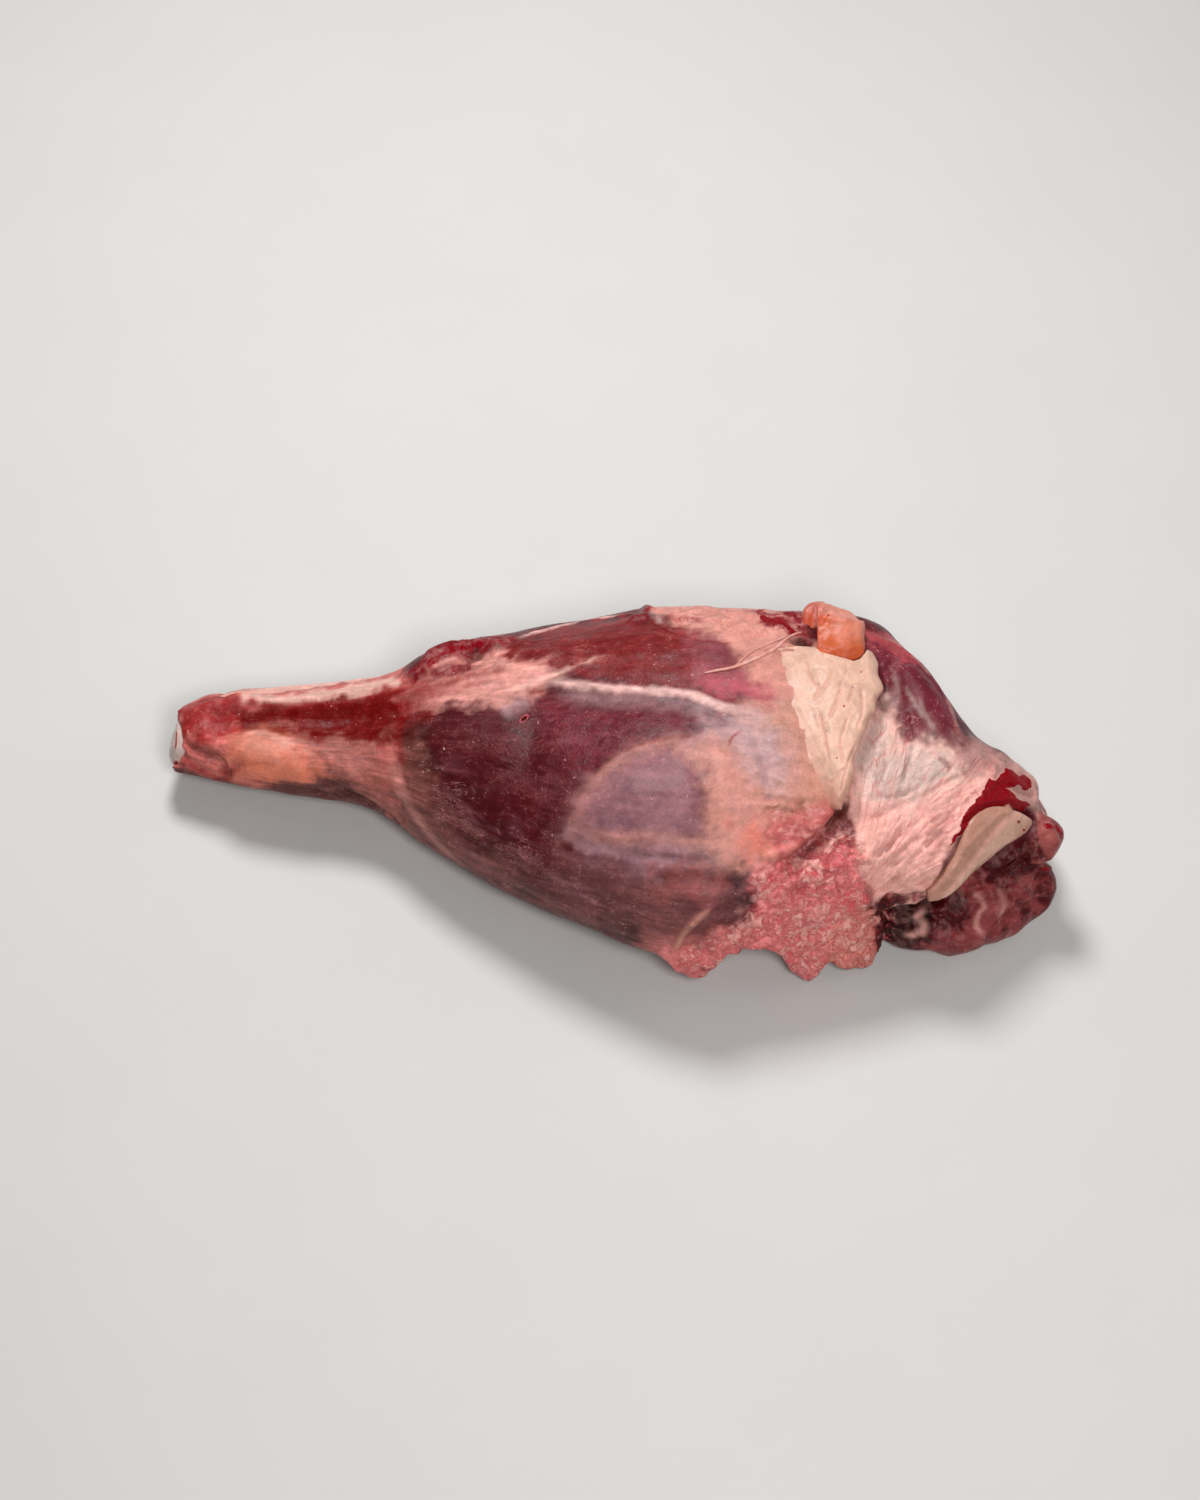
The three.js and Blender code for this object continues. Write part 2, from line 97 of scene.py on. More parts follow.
# Each row: what, how far it stands out (inwards below 0), how far it reaches, and the marks it runs through.
RELIEF = [
    ("upper fold at the joint", -5, 7, [(-431, 6), (-415, 0), (-400, -5), (-391, -15), (-387, -28)]),
    ("lower fold at the joint", -3, 6, [(-433, -3), (-419, -15), (-403, -25), (-393, -33)]),
    ("ridge between the joint folds", 2.5, 5, [(-429, -2), (-413, -10), (-399, -19)]),
    ("crimson hollow", -3, 24, [(-390, 28), (-355, 29), (-315, 29), (-265, 30), (-220, 36), (-197, 46)]),
    ("top of the shank", 4, 11, [(-385, 49), (-377, 51), (-367, 51)]),
    ("rim above the hollow", 3, 9, [(-375, 51), (-339, 47), (-285, 55), (-245, 60), (-220, 66)]),
    ("red lump over the joint", 3, 14, [(-425, 36), (-405, 43), (-379, 46)]),
    ("fat bulge on the shank", 5, 26, [(-370, -4), (-340, -10), (-310, -22)]),
    ("ridge of the fat bulge", 1.6, 7, [(-379, 12), (-359, 19), (-339, 14), (-315, 0), (-297, -16)]),
    ("edge of the fascia fan", 2, 7, [(-293, -4), (-263, -26), (-235, -48), (-211, -74)]),
    ("dark fold", -4, 6, [(-289, -31), (-263, -45), (-239, -62), (-223, -78)]),
    ("dark fold", -3.5, 6, [(-303, -39), (-270, -56), (-247, -70)]),
    ("top of the torn lump", 4, 12, [(-183, 98), (-165, 105), (-140, 107), (-115, 105)]),
    ("knuckle of the torn lump", 3, 8, [(-190, 82), (-179, 92)]),
    ("groove under the torn lump", -4.5, 6, [(-203, 68), (-183, 76), (-165, 86), (-147, 90), (-125, 95)]),
    ("tear", -3, 5, [(-175, 70), (-159, 78), (-141, 82), (-123, 86)]),
    ("streaky seam", 2, 6, [(-213, 54), (-190, 62), (-165, 72), (-135, 78), (-95, 86), (-55, 98)]),
    ("pale band", 2, 8, [(-67, 66), (-40, 66), (5, 61), (69, 58), (112, 44), (141, 39)]),
    ("groove under the pale band", -1.0, 6, [(-70, 54), (-40, 54), (5, 49), (69, 45), (112, 31)]),
    ("pale branch", 1.5, 4, [(-80, 60), (-57, 72), (-35, 84), (-9, 96)]),
    ("slit in the branch", -1.8, 3, [(-46, 84), (-29, 90)]),
    ("slit under the band", -2.2, 3, [(-89, 58), (-69, 58)]),
    ("dip between the muscles", -1.2, 18, [(-81, 54), (-84, 30), (-86, 0), (-83, -26)]),
    ("rim of the upper muscle", 1.5, 5, [(-83, 116), (-35, 128), (14, 135)]),
    ("red lump on the rim", 5, 9, [(17, 140), (27, 142), (37, 138)]),
    ("strip beside the red lump", 2.5, 5, [(35, 138), (46, 127)]),
    ("fat along the top", 3, 12, [(47, 132), (75, 130), (105, 127), (135, 123), (160, 116)]),
    ("fold in the top fat", -2.5, 5, [(53, 120), (85, 112), (115, 110), (150, 116)]),
    ("hole beside the fat block", -11, 8, [(182, 110), (193, 108)]),
    ("rim of the hole", 3, 5, [(171, 100), (182, 98), (197, 98)]),
    ("groove under the fat block", -5, 6, [(205, 86), (225, 82), (243, 86)]),
    ("rim of the oval muscle", 1.0, 6, [(-31, -46), (-15, -25), (5, -8), (25, 2), (50, 8), (77, 12)]),
    ("belly of the oval muscle", 4, 52, [(20, -45), (40, -45)]),
    ("right side of the oval muscle", -1.2, 16, [(85, -18), (91, -45), (83, -72)]),
    ("pale line below the oval", 1.0, 7, [(-43, -83), (5, -88), (47, -90), (105, -98)]),
    ("groove below the pale line", -2, 9, [(-25, -98), (25, -106), (85, -112)]),
    ("salmon ridge", 3, 28, [(97, 4), (110, -25), (125, -55), (137, -90), (142, -110)]),
    ("hollow beside the salmon ridge", -3, 12, [(145, 5), (153, -20), (157, -45), (153, -65)]),
    ("cream wrinkle", 2.4, 5, [(142, -22), (161, -28), (175, -39), (185, -52)]),
    ("cream wrinkle", 2.2, 5, [(137, -42), (157, -44), (180, -49), (197, -47)]),
    ("cream wrinkle", 2, 4, [(155, -2), (171, -7), (184, -18), (194, -33)]),
    ("cream wrinkle", 1.8, 4, [(133, -56), (155, -55), (177, -58)]),
    ("vein in the membrane", 1.2, 3, [(113, 2), (117, 12), (127, 20)]),
    ("brown hollow", -2.5, 16, [(50, -130), (85, -130), (113, -134)]),
    ("grey hollow", -4, 12, [(125, -132), (135, -140), (142, -152)]),
    ("cream fold", 6, 7, [(59, -200), (68, -185), (77, -174), (94, -160)]),
    ("shadow of the cream fold", -3.5, 6, [(75, -202), (85, -188), (99, -174)]),
    ("cream fold", 3, 6, [(85, -212), (101, -200), (123, -190), (147, -184)]),
    ("seam below the fat", -11, 8, [(231, -36), (229, -48), (226, -60), (214, -78), (203, -91), (182, -107),
        (164, -116)]),
    ("lip above the seam", 5, 9, [(217, -56), (207, -70), (191, -86), (175, -98), (157, -106)]),
    ("gather", -4, 5, [(171, -118), (155, -128), (145, -143), (132, -158)]),
    ("gather", -3.5, 5, [(185, -112), (181, -130), (173, -150)]),
    ("gather", -3, 5, [(207, -98), (211, -118), (205, -140)]),
    ("shoulder muscle", 4, 22, [(291, 78), (315, 48), (330, 15)]),
    ("groove beside the shoulder muscle", -4, 7, [(251, 100), (265, 90), (271, 68), (269, 44)]),
    ("pale rim of the shoulder", 2.5, 6, [(257, 114), (282, 104), (309, 80), (331, 48), (345, 12)]),
    ("membrane fold", -3.5, 6, [(269, 50), (278, 26), (273, -2), (261, -32)]),
    ("membrane fold", -3, 5, [(291, 34), (299, 2), (290, -30)]),
    ("membrane fold", -3, 5, [(321, 12), (335, -10), (359, -28)]),
    ("membrane ridge", 3, 7, [(283, 20), (286, -12), (277, -46)]),
    ("nick in the membrane", -3, 5, [(320, -5), (331, -14), (337, -20)]),
    ("wrinkle of the shoulder", -3, 5, [(263, -106), (297, -76), (333, -52), (361, -32)]),
    ("wrinkle of the shoulder", -2.6, 5, [(253, -72), (287, -56), (325, -38), (343, -26)]),
    ("wrinkle of the shoulder", -2.6, 5, [(277, -134), (303, -106), (327, -82)]),
    ("wrinkle of the shoulder", -2.2, 4, [(257, -50), (290, -44), (321, -28)]),
    ("wrinkle of the shoulder", -2.2, 4, [(269, -118), (297, -92), (323, -68)]),
    ("wrinkle of the shoulder", -2.2, 4, [(347, -56), (370, -36), (388, -20)]),
    ("lip over the gristle", 2.5, 6, [(299, -150), (315, -132), (328, -112), (338, -92), (347, -70),
        (367, -53), (395, -50), (421, -58)]),
    ("fold over the gristle's end", -4, 6, [(385, -28), (399, -38), (419, -46)]),
    ("shadow under the lip", -9, 10, [(271, -162), (290, -158), (310, -154), (325, -150)]),
    ("knob at the far corner", 5, 12, [(431, -78), (439, -92)]),
    ("groove round the knob", -4, 6, [(421, -92), (429, -108), (439, -118)]),
    ("nub of the rib flesh", 7, 12, [(319, -184), (333, -186)]),
    ("groove round the nub", -5, 6, [(305, -172), (317, -166), (335, -168), (345, -182)]),
    ("fold of the rib flesh", -6, 8, [(353, -140), (370, -130), (390, -118), (405, -110)]),
    ("fold of the rib flesh", -6, 8, [(347, -175), (360, -155), (377, -145), (397, -140)]),
    ("fold of the rib flesh", -5, 7, [(370, -198), (383, -175), (403, -160), (425, -150)]),
    ("right side of the rib flesh", 10, 24, [(425, -118), (431, -136), (427, -152)]),
    ("ridge of the rib flesh", 5, 9, [(360, -185), (370, -168), (387, -155), (413, -146)]),
    ("ridge of the rib flesh", 5, 9, [(360, -130), (380, -122), (403, -100)]),
]

# What, its tissue, how soft its edge is, how far the edge wanders, how much it covers, and its corners.
PATCHES = [
    ("shank", "pink", 16, 4, 1, [(-465, 70), (-375, 68), (-215, 85), (-191, 66), (-205, 30), (-215, 5),
        (-211, -50), (-231, -86), (-465, -56)]),
    # Painted shade: the shank's lower edge darkened almost to black, where shade falls under it
    ("lower edge of the shank", "dark_blood_and_shade", 12, 4, 0.8, [(-465, -14), (-425, -13), (-400, -26),
        (-383, -33), (-353, -44), (-285, -52), (-215, -90), (-235, -100), (-465, -62)]),
    ("red of the joint", "raw_red", 14, 6, 0.85, [(-439, 48), (-379, 56), (-353, 42), (-375, 20), (-389, 8),
        (-419, 6), (-439, 8)]),
    ("crimson of the shank", "crimson", 12, 2, 1, [(-383, 42), (-353, 44), (-315, 45), (-275, 50),
        (-220, 62), (-190, 68), (-163, 60), (-181, 38), (-205, 8), (-255, 4), (-303, 8), (-353, 18),
        (-379, 28)]),
    ("pale bone strip", "bone_skin", 5, 2, 0.9, [(-377, 62), (-339, 54), (-285, 62), (-250, 68), (-215, 72),
        (-215, 65), (-250, 56), (-285, 49), (-339, 45), (-369, 48)]),
    ("fat of the shank", "peach", 34, 3, 0.9, [(-385, 2), (-369, 16), (-341, 20), (-317, 8), (-297, -8),
        (-275, -32), (-309, -42), (-345, -40), (-371, -30), (-389, -16)]),
    # Painted light: the top of the shank's fat made lighter, where light falls on it
    ("light on the fat of the shank", "peach_cream", 20, 3, 0.6, [(-375, 8), (-357, 17), (-331, 10),
        (-311, -2), (-315, -14), (-345, -8), (-369, -6)]),
    # Painted shade: the lower side of the shank's fat made darker
    ("lower side of the fat of the shank", "brown_red", 16, 4, 0.6, [(-379, -34), (-335, -36), (-295, -34),
        (-285, -50), (-335, -56), (-379, -50)]),
    ("fascia fan", "fascia_pink", 22, 7, 0.85, [(-330, 16), (-285, 8), (-239, 12), (-231, -8), (-223, -40),
        (-191, -90), (-207, -90), (-265, -50), (-293, -14)]),
    ("dark red beside the fan", "dark_blood_and_shade", 20, 4, 0.6, [(-223, 26), (-191, 28), (-181, -2), (-185, -36),
        (-205, -40), (-219, -14)]),
    ("shadowed folds of the shank", "shade", 12, 5, 0.85, [(-353, -36), (-315, -28), (-285, -25),
        (-261, -35), (-235, -56), (-213, -88), (-229, -92), (-275, -66), (-315, -54), (-349, -50)]),
    ("pale edge of the muscle", "fascia_pink", 44, 6, 0.6, [(-223, 16), (-195, 6), (-191, -40), (-155, -92),
        (-95, -138), (-115, -150), (-179, -112), (-211, -76), (-219, -30)]),
    # Tendon sheet of the lower side, its colour darkened as painted shade
    ("lower streaks", "grey_fascia", 56, 5, 0.75, [(-211, -50), (-175, -56), (-135, -100), (-75, -134),
        (-15, -152), (45, -170), (45, -210), (-55, -185), (-135, -150), (-205, -100)]),
    ("shade along the lower edge", "shade", 26, 4, 0.7, [(-219, -96), (-175, -108), (-135, -128),
        (-75, -150), (-25, -172), (25, -188), (53, -194), (45, -216), (-55, -190), (-145, -150),
        (-215, -110)]),
    ("torn lump of the shin", "dark_red", 6, 6, 1, [(-211, 74), (-191, 102), (-163, 118), (-115, 120),
        (-95, 112), (-115, 96), (-145, 88), (-183, 74)]),
    ("streaked seam of the shin", "veil_pink", 20, 4, 0.8, [(-217, 46), (-185, 72), (-115, 94), (-59, 104),
        (-3, 102), (-49, 82), (-69, 60), (-109, 46), (-175, 44)]),
    ("red of the seam", "raw_red", 18, 4, 0.75, [(-217, 60), (-185, 68), (-145, 78), (-115, 78), (-145, 64),
        (-185, 46), (-215, 38)]),
    ("upper muscle", "upper_red", 8, 3, 1, [(-101, 110), (-55, 122), (14, 133), (65, 124), (105, 113),
        (131, 98), (107, 62), (65, 62), (-9, 70), (-57, 79), (-114, 96)]),
    ("lavender end of the upper muscle", "lavender", 34, 4, 0.7, [(79, 122), (107, 114), (135, 98),
        (123, 76), (85, 68), (71, 94)]),
    ("fat of the top edge", "pale_fat", 14, 3, 1, [(25, 150), (85, 150), (145, 148), (191, 136), (185, 110),
        (159, 100), (129, 86), (107, 110), (75, 122), (40, 130)]),
    ("muscle through the top edge", "dark_red", 6, 4, 1, [(131, 138), (160, 140), (185, 139), (193, 128),
        (189, 114), (177, 108), (163, 122), (145, 127)]),
    ("pale middle of the limb", "cream_pink", 26, 4, 0.9, [(115, 28), (135, 50), (153, 66), (185, 86),
        (247, 100), (251, -50), (225, -62), (209, -92), (169, -114), (130, -124), (107, -112), (95, -50),
        (101, -10)]),
    ("magenta patch", "magenta", 28, 4, 0.9, [(89, 74), (123, 78), (161, 74), (175, 60), (167, 46),
        (130, 46), (97, 54)]),
    ("purple below the band", "purple", 44, 3, 0.7, [(-75, 54), (-15, 48), (65, 39), (97, 26), (75, 12),
        (25, 6), (-19, -18), (-43, -12), (-70, 20)]),
    ("oval muscle", "mauve", 42, 3, 0.95, [(-41, -82), (-37, -56), (-23, -32), (5, -12), (37, -2), (69, -2),
        (89, -28), (91, -56), (81, -82), (45, -88), (5, -88)]),
    ("glow round the oval", "peach_cream", 20, 2, 0.28, [(-55, -96), (-43, -56), (-25, -26), (9, -2),
        (53, 16), (89, 10), (101, -26), (101, -80), (97, -100), (85, -86), (89, -46), (79, -12), (53, -2),
        (17, -16), (-11, -40), (-27, -68), (-31, -86), (25, -90), (85, -96), (25, -100)]),
    ("low part of the oval", "grey_mauve", 40, 4, 0.75, [(-55, -86), (5, -92), (85, -98), (109, -108),
        (85, -126), (25, -122), (-29, -108)]),
    ("membrane beside the oval", "lavender_veil", 40, 4, 0.85, [(85, 34), (141, 32), (181, 12), (181, -40),
        (157, -54), (135, -26), (109, 6), (81, 14)]),
    ("salmon ridge", "salmon", 38, 3, 0.95, [(73, 2), (97, 14), (121, -8), (139, -38), (163, -76),
        (169, -106), (137, -126), (101, -118), (87, -96), (101, -62), (99, -40), (85, -18)]),
    ("red of the salmon ridge", "coral", 34, 3, 0.6, [(115, -74), (153, -72), (163, -106), (129, -114)]),
    ("cream beside the fat", "cream_pink", 30, 4, 0.6, [(155, 32), (161, 50), (185, 52), (235, 46),
        (235, -50), (209, -54), (175, -56), (163, -42), (169, -10), (161, 20)]),
    ("peach above the fat", "peach_cream", 26, 3, 0.95, [(129, 86), (175, 106), (241, 106), (241, 44),
        (175, 48), (155, 60), (137, 68)]),
    ("red beside the tip", "raw_pink", 24, 5, 0.8, [(157, -62), (185, -58), (221, -50), (231, -62),
        (207, -92), (177, -108), (161, -110), (151, -88)]),
    ("lower brown", "brown", 44, 5, 0.8, [(-55, -106), (25, -118), (112, -118), (133, -130), (119, -158),
        (85, -186), (35, -186), (-19, -162), (-59, -138)]),
    ("brown red", "brown_red", 30, 6, 0.6, [(45, -118), (112, -118), (117, -140), (77, -150), (45, -142)]),
    ("grey hollow", "grey_dark", 26, 6, 0.75, [(117, -118), (143, -120), (149, -140), (139, -156),
        (121, -152)]),
    ("hem of the limb", "hem_pink", 30, 4, 0.8, [(25, -180), (85, -182), (145, -176), (149, -202),
        (97, -218), (45, -222), (21, -202)]),
    ("bulb of the hem", "torn_pink", 10, 5, 0.9, [(49, -196), (89, -198), (101, -208), (89, -234),
        (65, -234), (49, -216)]),
    ("torn tissue", "torn_pink", 26, 7, 1, [(149, -116), (185, -102), (227, -76), (247, -96), (259, -130),
        (245, -170), (237, -218), (219, -246), (175, -240), (149, -208), (121, -208), (97, -220), (97, -196),
        (129, -178)]),
    ("red of the torn tissue", "bright_red", 12, 8, 0.6, [(219, -140), (241, -136), (247, -158), (231, -170),
        (217, -158)]),
    ("rose of the torn tissue", "rose", 14, 9, 0.6, [(175, -116), (221, -90), (233, -116), (205, -140),
        (175, -146)]),
    ("shadow behind the seam", "shadow_red", 9, 5, 0.8, [(223, -48), (243, -44), (253, -70), (247, -98),
        (227, -100), (211, -92), (217, -74)]),
    ("tan hem", "tan_pink", 20, 6, 0.9, [(211, -186), (237, -162), (261, -150), (277, -162), (277, -225),
        (223, -232), (207, -216)]),
    ("shoulder muscle", "shoulder", 8, 6, 1, [(247, 114), (277, 106), (313, 90), (335, 54), (351, 14),
        (335, -4), (303, 8), (278, 28), (267, 56)]),
    ("ridge beside the fat block", "rose", 6, 4, 0.7, [(247, 122), (269, 118), (309, 90), (307, 82),
        (269, 104), (249, 108)]),
    ("pale shoulder", "shoulder_pink", 12, 4, 0.95, [(237, 34), (269, 50), (291, 12), (345, 0), (421, -18),
        (429, -50), (385, -64), (347, -82), (329, -114), (313, -146), (265, -156), (247, -110), (235, -50)]),
    ("silver membrane", "silver", 40, 5, 0.85, [(241, 26), (269, 44), (285, 12), (315, 5), (347, -10),
        (365, -34), (325, -52), (285, -62), (245, -54), (239, -20)]),
    ("wrinkled shoulder", "shoulder_pink", 30, 4, 0.9, [(241, -56), (285, -56), (345, -32), (389, -14),
        (395, -40), (347, -78), (329, -112), (313, -142), (290, -158), (263, -154), (251, -114)]),
    ("far rim of the shoulder", "rim_pink", 20, 5, 0.9, [(335, 12), (389, 0), (421, -16), (429, -50),
        (415, -56), (385, -30), (353, -22)]),
    ("knob at the far corner", "knob_pink", 8, 5, 0.85, [(419, -58), (449, -70), (453, -114), (427, -126),
        (413, -100)]),
    ("rib flesh", "rib_muscle", 8, 6, 1, [(261, -150), (325, -143), (363, -102), (419, -88), (425, -118),
        (451, -116), (451, -140), (435, -174), (375, -216), (315, -212), (265, -202)]),
    ("swirl of the rib flesh", "rib_pink", 14, 9, 1, [(343, -134), (370, -118), (395, -136), (391, -156),
        (415, -134), (435, -130), (425, -155), (405, -176), (383, -200), (360, -216), (339, -208),
        (335, -186), (353, -164)]),
    ("muscle of the rib flesh", "rib_muscle", 8, 5, 0.95, [(367, -102), (389, -98), (409, -102), (415, -122),
        (399, -134), (383, -124), (373, -116)]),
    ("muscle of the rib flesh", "rib_muscle", 8, 5, 0.9, [(315, -152), (337, -140), (351, -146), (357, -162),
        (347, -178), (329, -180), (317, -168)]),
    ("pink under the rib flesh", "rib_pink", 12, 8, 0.8, [(315, -196), (345, -188), (375, -194), (385, -206),
        (365, -222), (315, -216)]),
    # Painted shadow: the hollow under the rib flesh painted almost black
    ("hollow of the rib flesh", "cavity_shadow", 10, 4, 0.9, [(265, -158), (311, -150), (317, -164), (311, -188),
        (297, -196), (269, -194)]),
    ("end of the rib flesh", "rib_muscle", 10, 6, 0.7, [(421, -122), (445, -110), (449, -150), (429, -176),
        (411, -186), (421, -150)]),
    ("pale flap over the gristle's end", "rim_pink", 5, 2, 0.85, [(393, -38), (407, -36), (419, -40),
        (425, -56), (425, -70), (415, -62), (411, -52), (401, -47)]),
]

# What, its tissue, how far it reaches, how much it covers, and the marks it runs through.
STREAKS = [
    # Painted shade in the folds of the joint
    ("dark of the joint folds", "dark_blood_and_shade", 7, 0.5, [(-431, 6), (-415, 0), (-400, -5), (-391, -15),
        (-387, -28)]),
    ("red of the lower fold", "raw_red", 9, 0.6, [(-433, -6), (-419, -18), (-401, -28), (-375, -40)]),
    ("red line over the fat", "raw_red", 4, 0.5, [(-375, 50), (-339, 44), (-315, 44), (-270, 48), (-243, 54),
        (-221, 60)]),
    # Painted highlight along the top of the shank's fat
    ("pink light over the fat", "bone_skin", 9, 0.4, [(-379, 14), (-359, 19), (-335, 12), (-315, 4)]),
    ("red edge of the fan", "raw_red", 8, 0.5, [(-217, 34), (-217, 5), (-211, -20)]),
    ("pale fibres of the fan", "veil_pink", 10, 0.4, [(-227, 4), (-219, -26), (-207, -56), (-179, -92),
        (-145, -122)]),
    ("pale strand of the torn shin", "veil_pink", 4, 0.7, [(-187, 82), (-165, 90), (-145, 86)]),
    ("pale strand of the torn shin", "veil_pink", 4, 0.7, [(-145, 82), (-125, 94), (-103, 100)]),
    ("pale strand of the torn shin", "veil_pink", 5, 0.65, [(-175, 58), (-145, 70), (-115, 74), (-85, 82),
        (-55, 98)]),
    ("pale strand of the torn shin", "bone_skin", 5, 0.7, [(-115, 56), (-85, 66), (-59, 76), (-35, 86),
        (-9, 96)]),
    ("wider glow of the band", "lavender_veil", 17, 0.36, [(-67, 58), (-15, 50), (69, 45), (125, 32)]),
    ("pale band", "band_cream", 7, 1, [(-85, 60), (-63, 68), (-40, 66), (5, 62), (69, 57), (112, 43),
        (155, 32)]),
    ("red line in the band", "raw_red", 2.5, 0.4, [(-35, 69), (5, 66), (35, 64)]),
    ("slit in the branch", "raw_red", 3.5, 0.8, [(-47, 84), (-28, 90)]),
    ("slit under the band", "raw_red", 3.5, 0.8, [(-89, 58), (-69, 58)]),
    ("grey patch", "lavender_veil", 15, 0.45, [(-115, 34), (-97, 46), (-85, 50)]),
    ("pale rim of the upper muscle", "band_cream", 5, 0.8, [(-100, 110), (-83, 117), (-35, 129), (14, 137)]),
    ("red lump on the rim", "dark_red", 9, 0.95, [(14, 140), (27, 144), (39, 139)]),
    ("grey strip", "lavender_veil", 5, 0.6, [(35, 140), (48, 126)]),
    ("red of the top edge", "dark_red", 6, 0.75, [(45, 134), (75, 131), (94, 130)]),
    ("pale strands of the top edge", "pale_fat", 3, 0.6, [(165, 136), (177, 128), (185, 114)]),
    ("dark spots of the top edge", "dark_red", 9, 0.85, [(142, 134), (160, 132), (175, 124), (184, 116)]),
    # Painted shade in the hole beside the fat block
    ("dark of the hole", "shadow_red", 7, 0.9, [(180, 109), (188, 107), (197, 106)]),
    ("red of the top fat", "raw_red", 4, 0.45, [(50, 122), (85, 110), (123, 106)]),
    ("rim of the oval muscle", "peach_cream", 7, 0.35, [(-31, -46), (-15, -25), (5, -8), (25, 3), (50, 9),
        (77, 13)]),
    ("pale line below the oval", "peach_cream", 9, 0.45, [(-40, -82), (5, -88), (47, -88), (105, -98)]),
    ("vein in the membrane", "raw_red", 2.2, 0.7, [(113, 2), (117, 12), (127, 20)]),
    ("cream fold", "cream_pink", 5, 0.75, [(57, -204), (68, -185), (77, -174), (96, -158)]),
    # Painted shadow along the seam under the tip of the cap of fat
    ("painted shadow in the seam", "shadow_red", 6, 0.7, [(230, -42), (226, -62), (213, -80), (201, -93), (182, -108),
        (163, -116)]),
    ("light fibre of the shoulder muscle", "silver", 5, 0.3, [(278, 82), (283, 60), (279, 38)]),
    ("light fibre of the shoulder muscle", "silver", 3, 0.4, [(289, 66), (299, 48), (311, 28)]),
    ("light fibre of the shoulder muscle", "silver", 3, 0.35, [(303, 56), (309, 38), (323, 16)]),
    ("pale rim of the shoulder", "rim_pink", 4, 0.8, [(257, 116), (283, 106), (311, 82), (333, 50),
        (347, 10)]),
    ("purple nick", "shoulder", 5, 0.8, [(321, -7), (331, -14), (335, -20)]),
    ("red wrinkle", "raw_red", 3, 0.45, [(305, -88), (330, -68), (347, -50)]),
    ("red wrinkle", "raw_red", 3, 0.4, [(310, -45), (333, -30), (355, -22)]),
    ("red wrinkle", "raw_red", 5, 0.4, [(310, -118), (323, -96), (331, -72)]),
    # Painted shadow under the lip over the gristle
    ("dark under the lip", "dark_blood_and_shade", 11, 0.85, [(269, -164), (290, -160), (310, -155), (329, -148)]),
    ("purple nub", "purple", 10, 0.8, [(315, -184), (333, -187)]),
    ("pale membrane of the rib flesh", "shoulder_pink", 6, 0.7, [(285, -188), (310, -180), (303, -165),
        (315, -155)]),
    ("pale swirl", "shoulder_pink", 4, 0.5, [(351, -138), (369, -152), (361, -172), (371, -190)]),
    ("pale swirl", "shoulder_pink", 4, 0.4, [(381, -134), (389, -152), (383, -172)]),
]

# What, how far it reaches, how thick it lies, and the marks it runs through.
BLOOD = [
    ("run over the knob", 6, 0.75, [(433, -76), (441, -78), (447, -86)]),
    ("drip on the knob", 3, 0.6, [(427, -118), (435, -120)]),
    ("stain of the torn lump", 9, 0.6, [(-185, 88), (-165, 100), (-135, 106)]),
    ("stain of the top edge", 6, 0.8, [(149, 132), (169, 126), (181, 116)]),
]

# Pools of blood, with their softness, amount and corners.
POOLS = [
    (4, 1.0, [(335, -98), (340, -88), (345, -78), (347, -68), (351, -62), (359, -54), (365, -45), (370, -37),
        (375, -30), (385, -28), (393, -20), (399, -22), (405, -26), (412, -26), (417, -34), (419, -38),
        (411, -38), (401, -36), (393, -38), (397, -44), (405, -49), (411, -51), (414, -56), (407, -61),
        (399, -61), (393, -56), (385, -58), (375, -62), (367, -68), (359, -74), (351, -82), (343, -90)]),
]

# Where the membrane lies thick enough to show as pale wisps: softness, amount, corners.
VEILS = [
    (40, 0.28, [(-215, 60), (-60, 70), (80, 40), (150, 0), (60, -110), (-60, -120), (-180, -60)]),
    (24, 0.85, [(-215, 10), (-180, -10), (-130, -70), (-60, -120), (40, -160), (40, -215), (-120, -170)]),
    (14, 0.6, [(-215, 50), (-185, 78), (-110, 100), (0, 112), (-20, 70), (-80, 50), (-200, 30)]),
    (22, 0.75, [(75, 40), (200, 55), (190, -50), (150, -60), (100, 0)]),
    (16, 0.55, [(-330, 5), (-230, 5), (-190, -60), (-240, -90)]),
    (10, 0.0, [(-440, 60), (-380, 40), (-240, 70), (-190, 74), (-210, 30), (-240, 12), (-380, 16),
        (-440, -30)]),
    (16, 0.9, [(245, 30), (280, 60), (330, 10), (380, 0), (370, -70), (300, -150), (250, -100)]),
    (12, 0.6, [(250, 110), (320, 90), (350, 20), (290, 20), (268, 60)]),
    (8, 0.0, [(268, -140), (330, -130), (366, -100), (470, -70), (470, -190), (360, -230), (262, -220)]),
]

# Torn, clotted tissue: softness, amount, corners.
TORN = [
    (18, 1.0, [(150, -118), (190, -98), (226, -78), (250, -96), (262, -130), (275, -160), (278, -225),
        (215, -250), (150, -215), (95, -238), (50, -225), (60, -200), (110, -185)]),
    (10, 0.25, [(-212, 74), (-188, 104), (-160, 120), (-110, 118), (-112, 96), (-150, 84), (-190, 70)]),
    (10, 0.15, [(-432, 48), (-380, 58), (-380, 14), (-345, -44), (-440, -50)]),
    (14, 0.16, [(262, -150), (330, -146), (365, -100), (425, -85), (455, -110), (440, -180), (370, -220),
        (262, -205)]),
    (10, 0.45, [(150, -52), (190, -48), (225, -60), (205, -92), (155, -102), (146, -80)]),
    (10, 0.5, [(25, 155), (60, 150), (140, 143), (190, 138), (186, 112), (120, 116), (40, 136)]),
]

# Loose, gathered membrane and fat that lies in wrinkles: softness, amount, corners.
WRINKLED = [
    (18, 1.0, [(240, -10), (262, 40), (290, 20), (345, 0), (400, -15), (385, -45), (345, -90), (300, -160),
        (262, -150), (250, -90)]),
    (16, 0.35, [(140, 30), (190, 50), (205, 0), (205, -50), (150, -56), (136, -20)]),
]

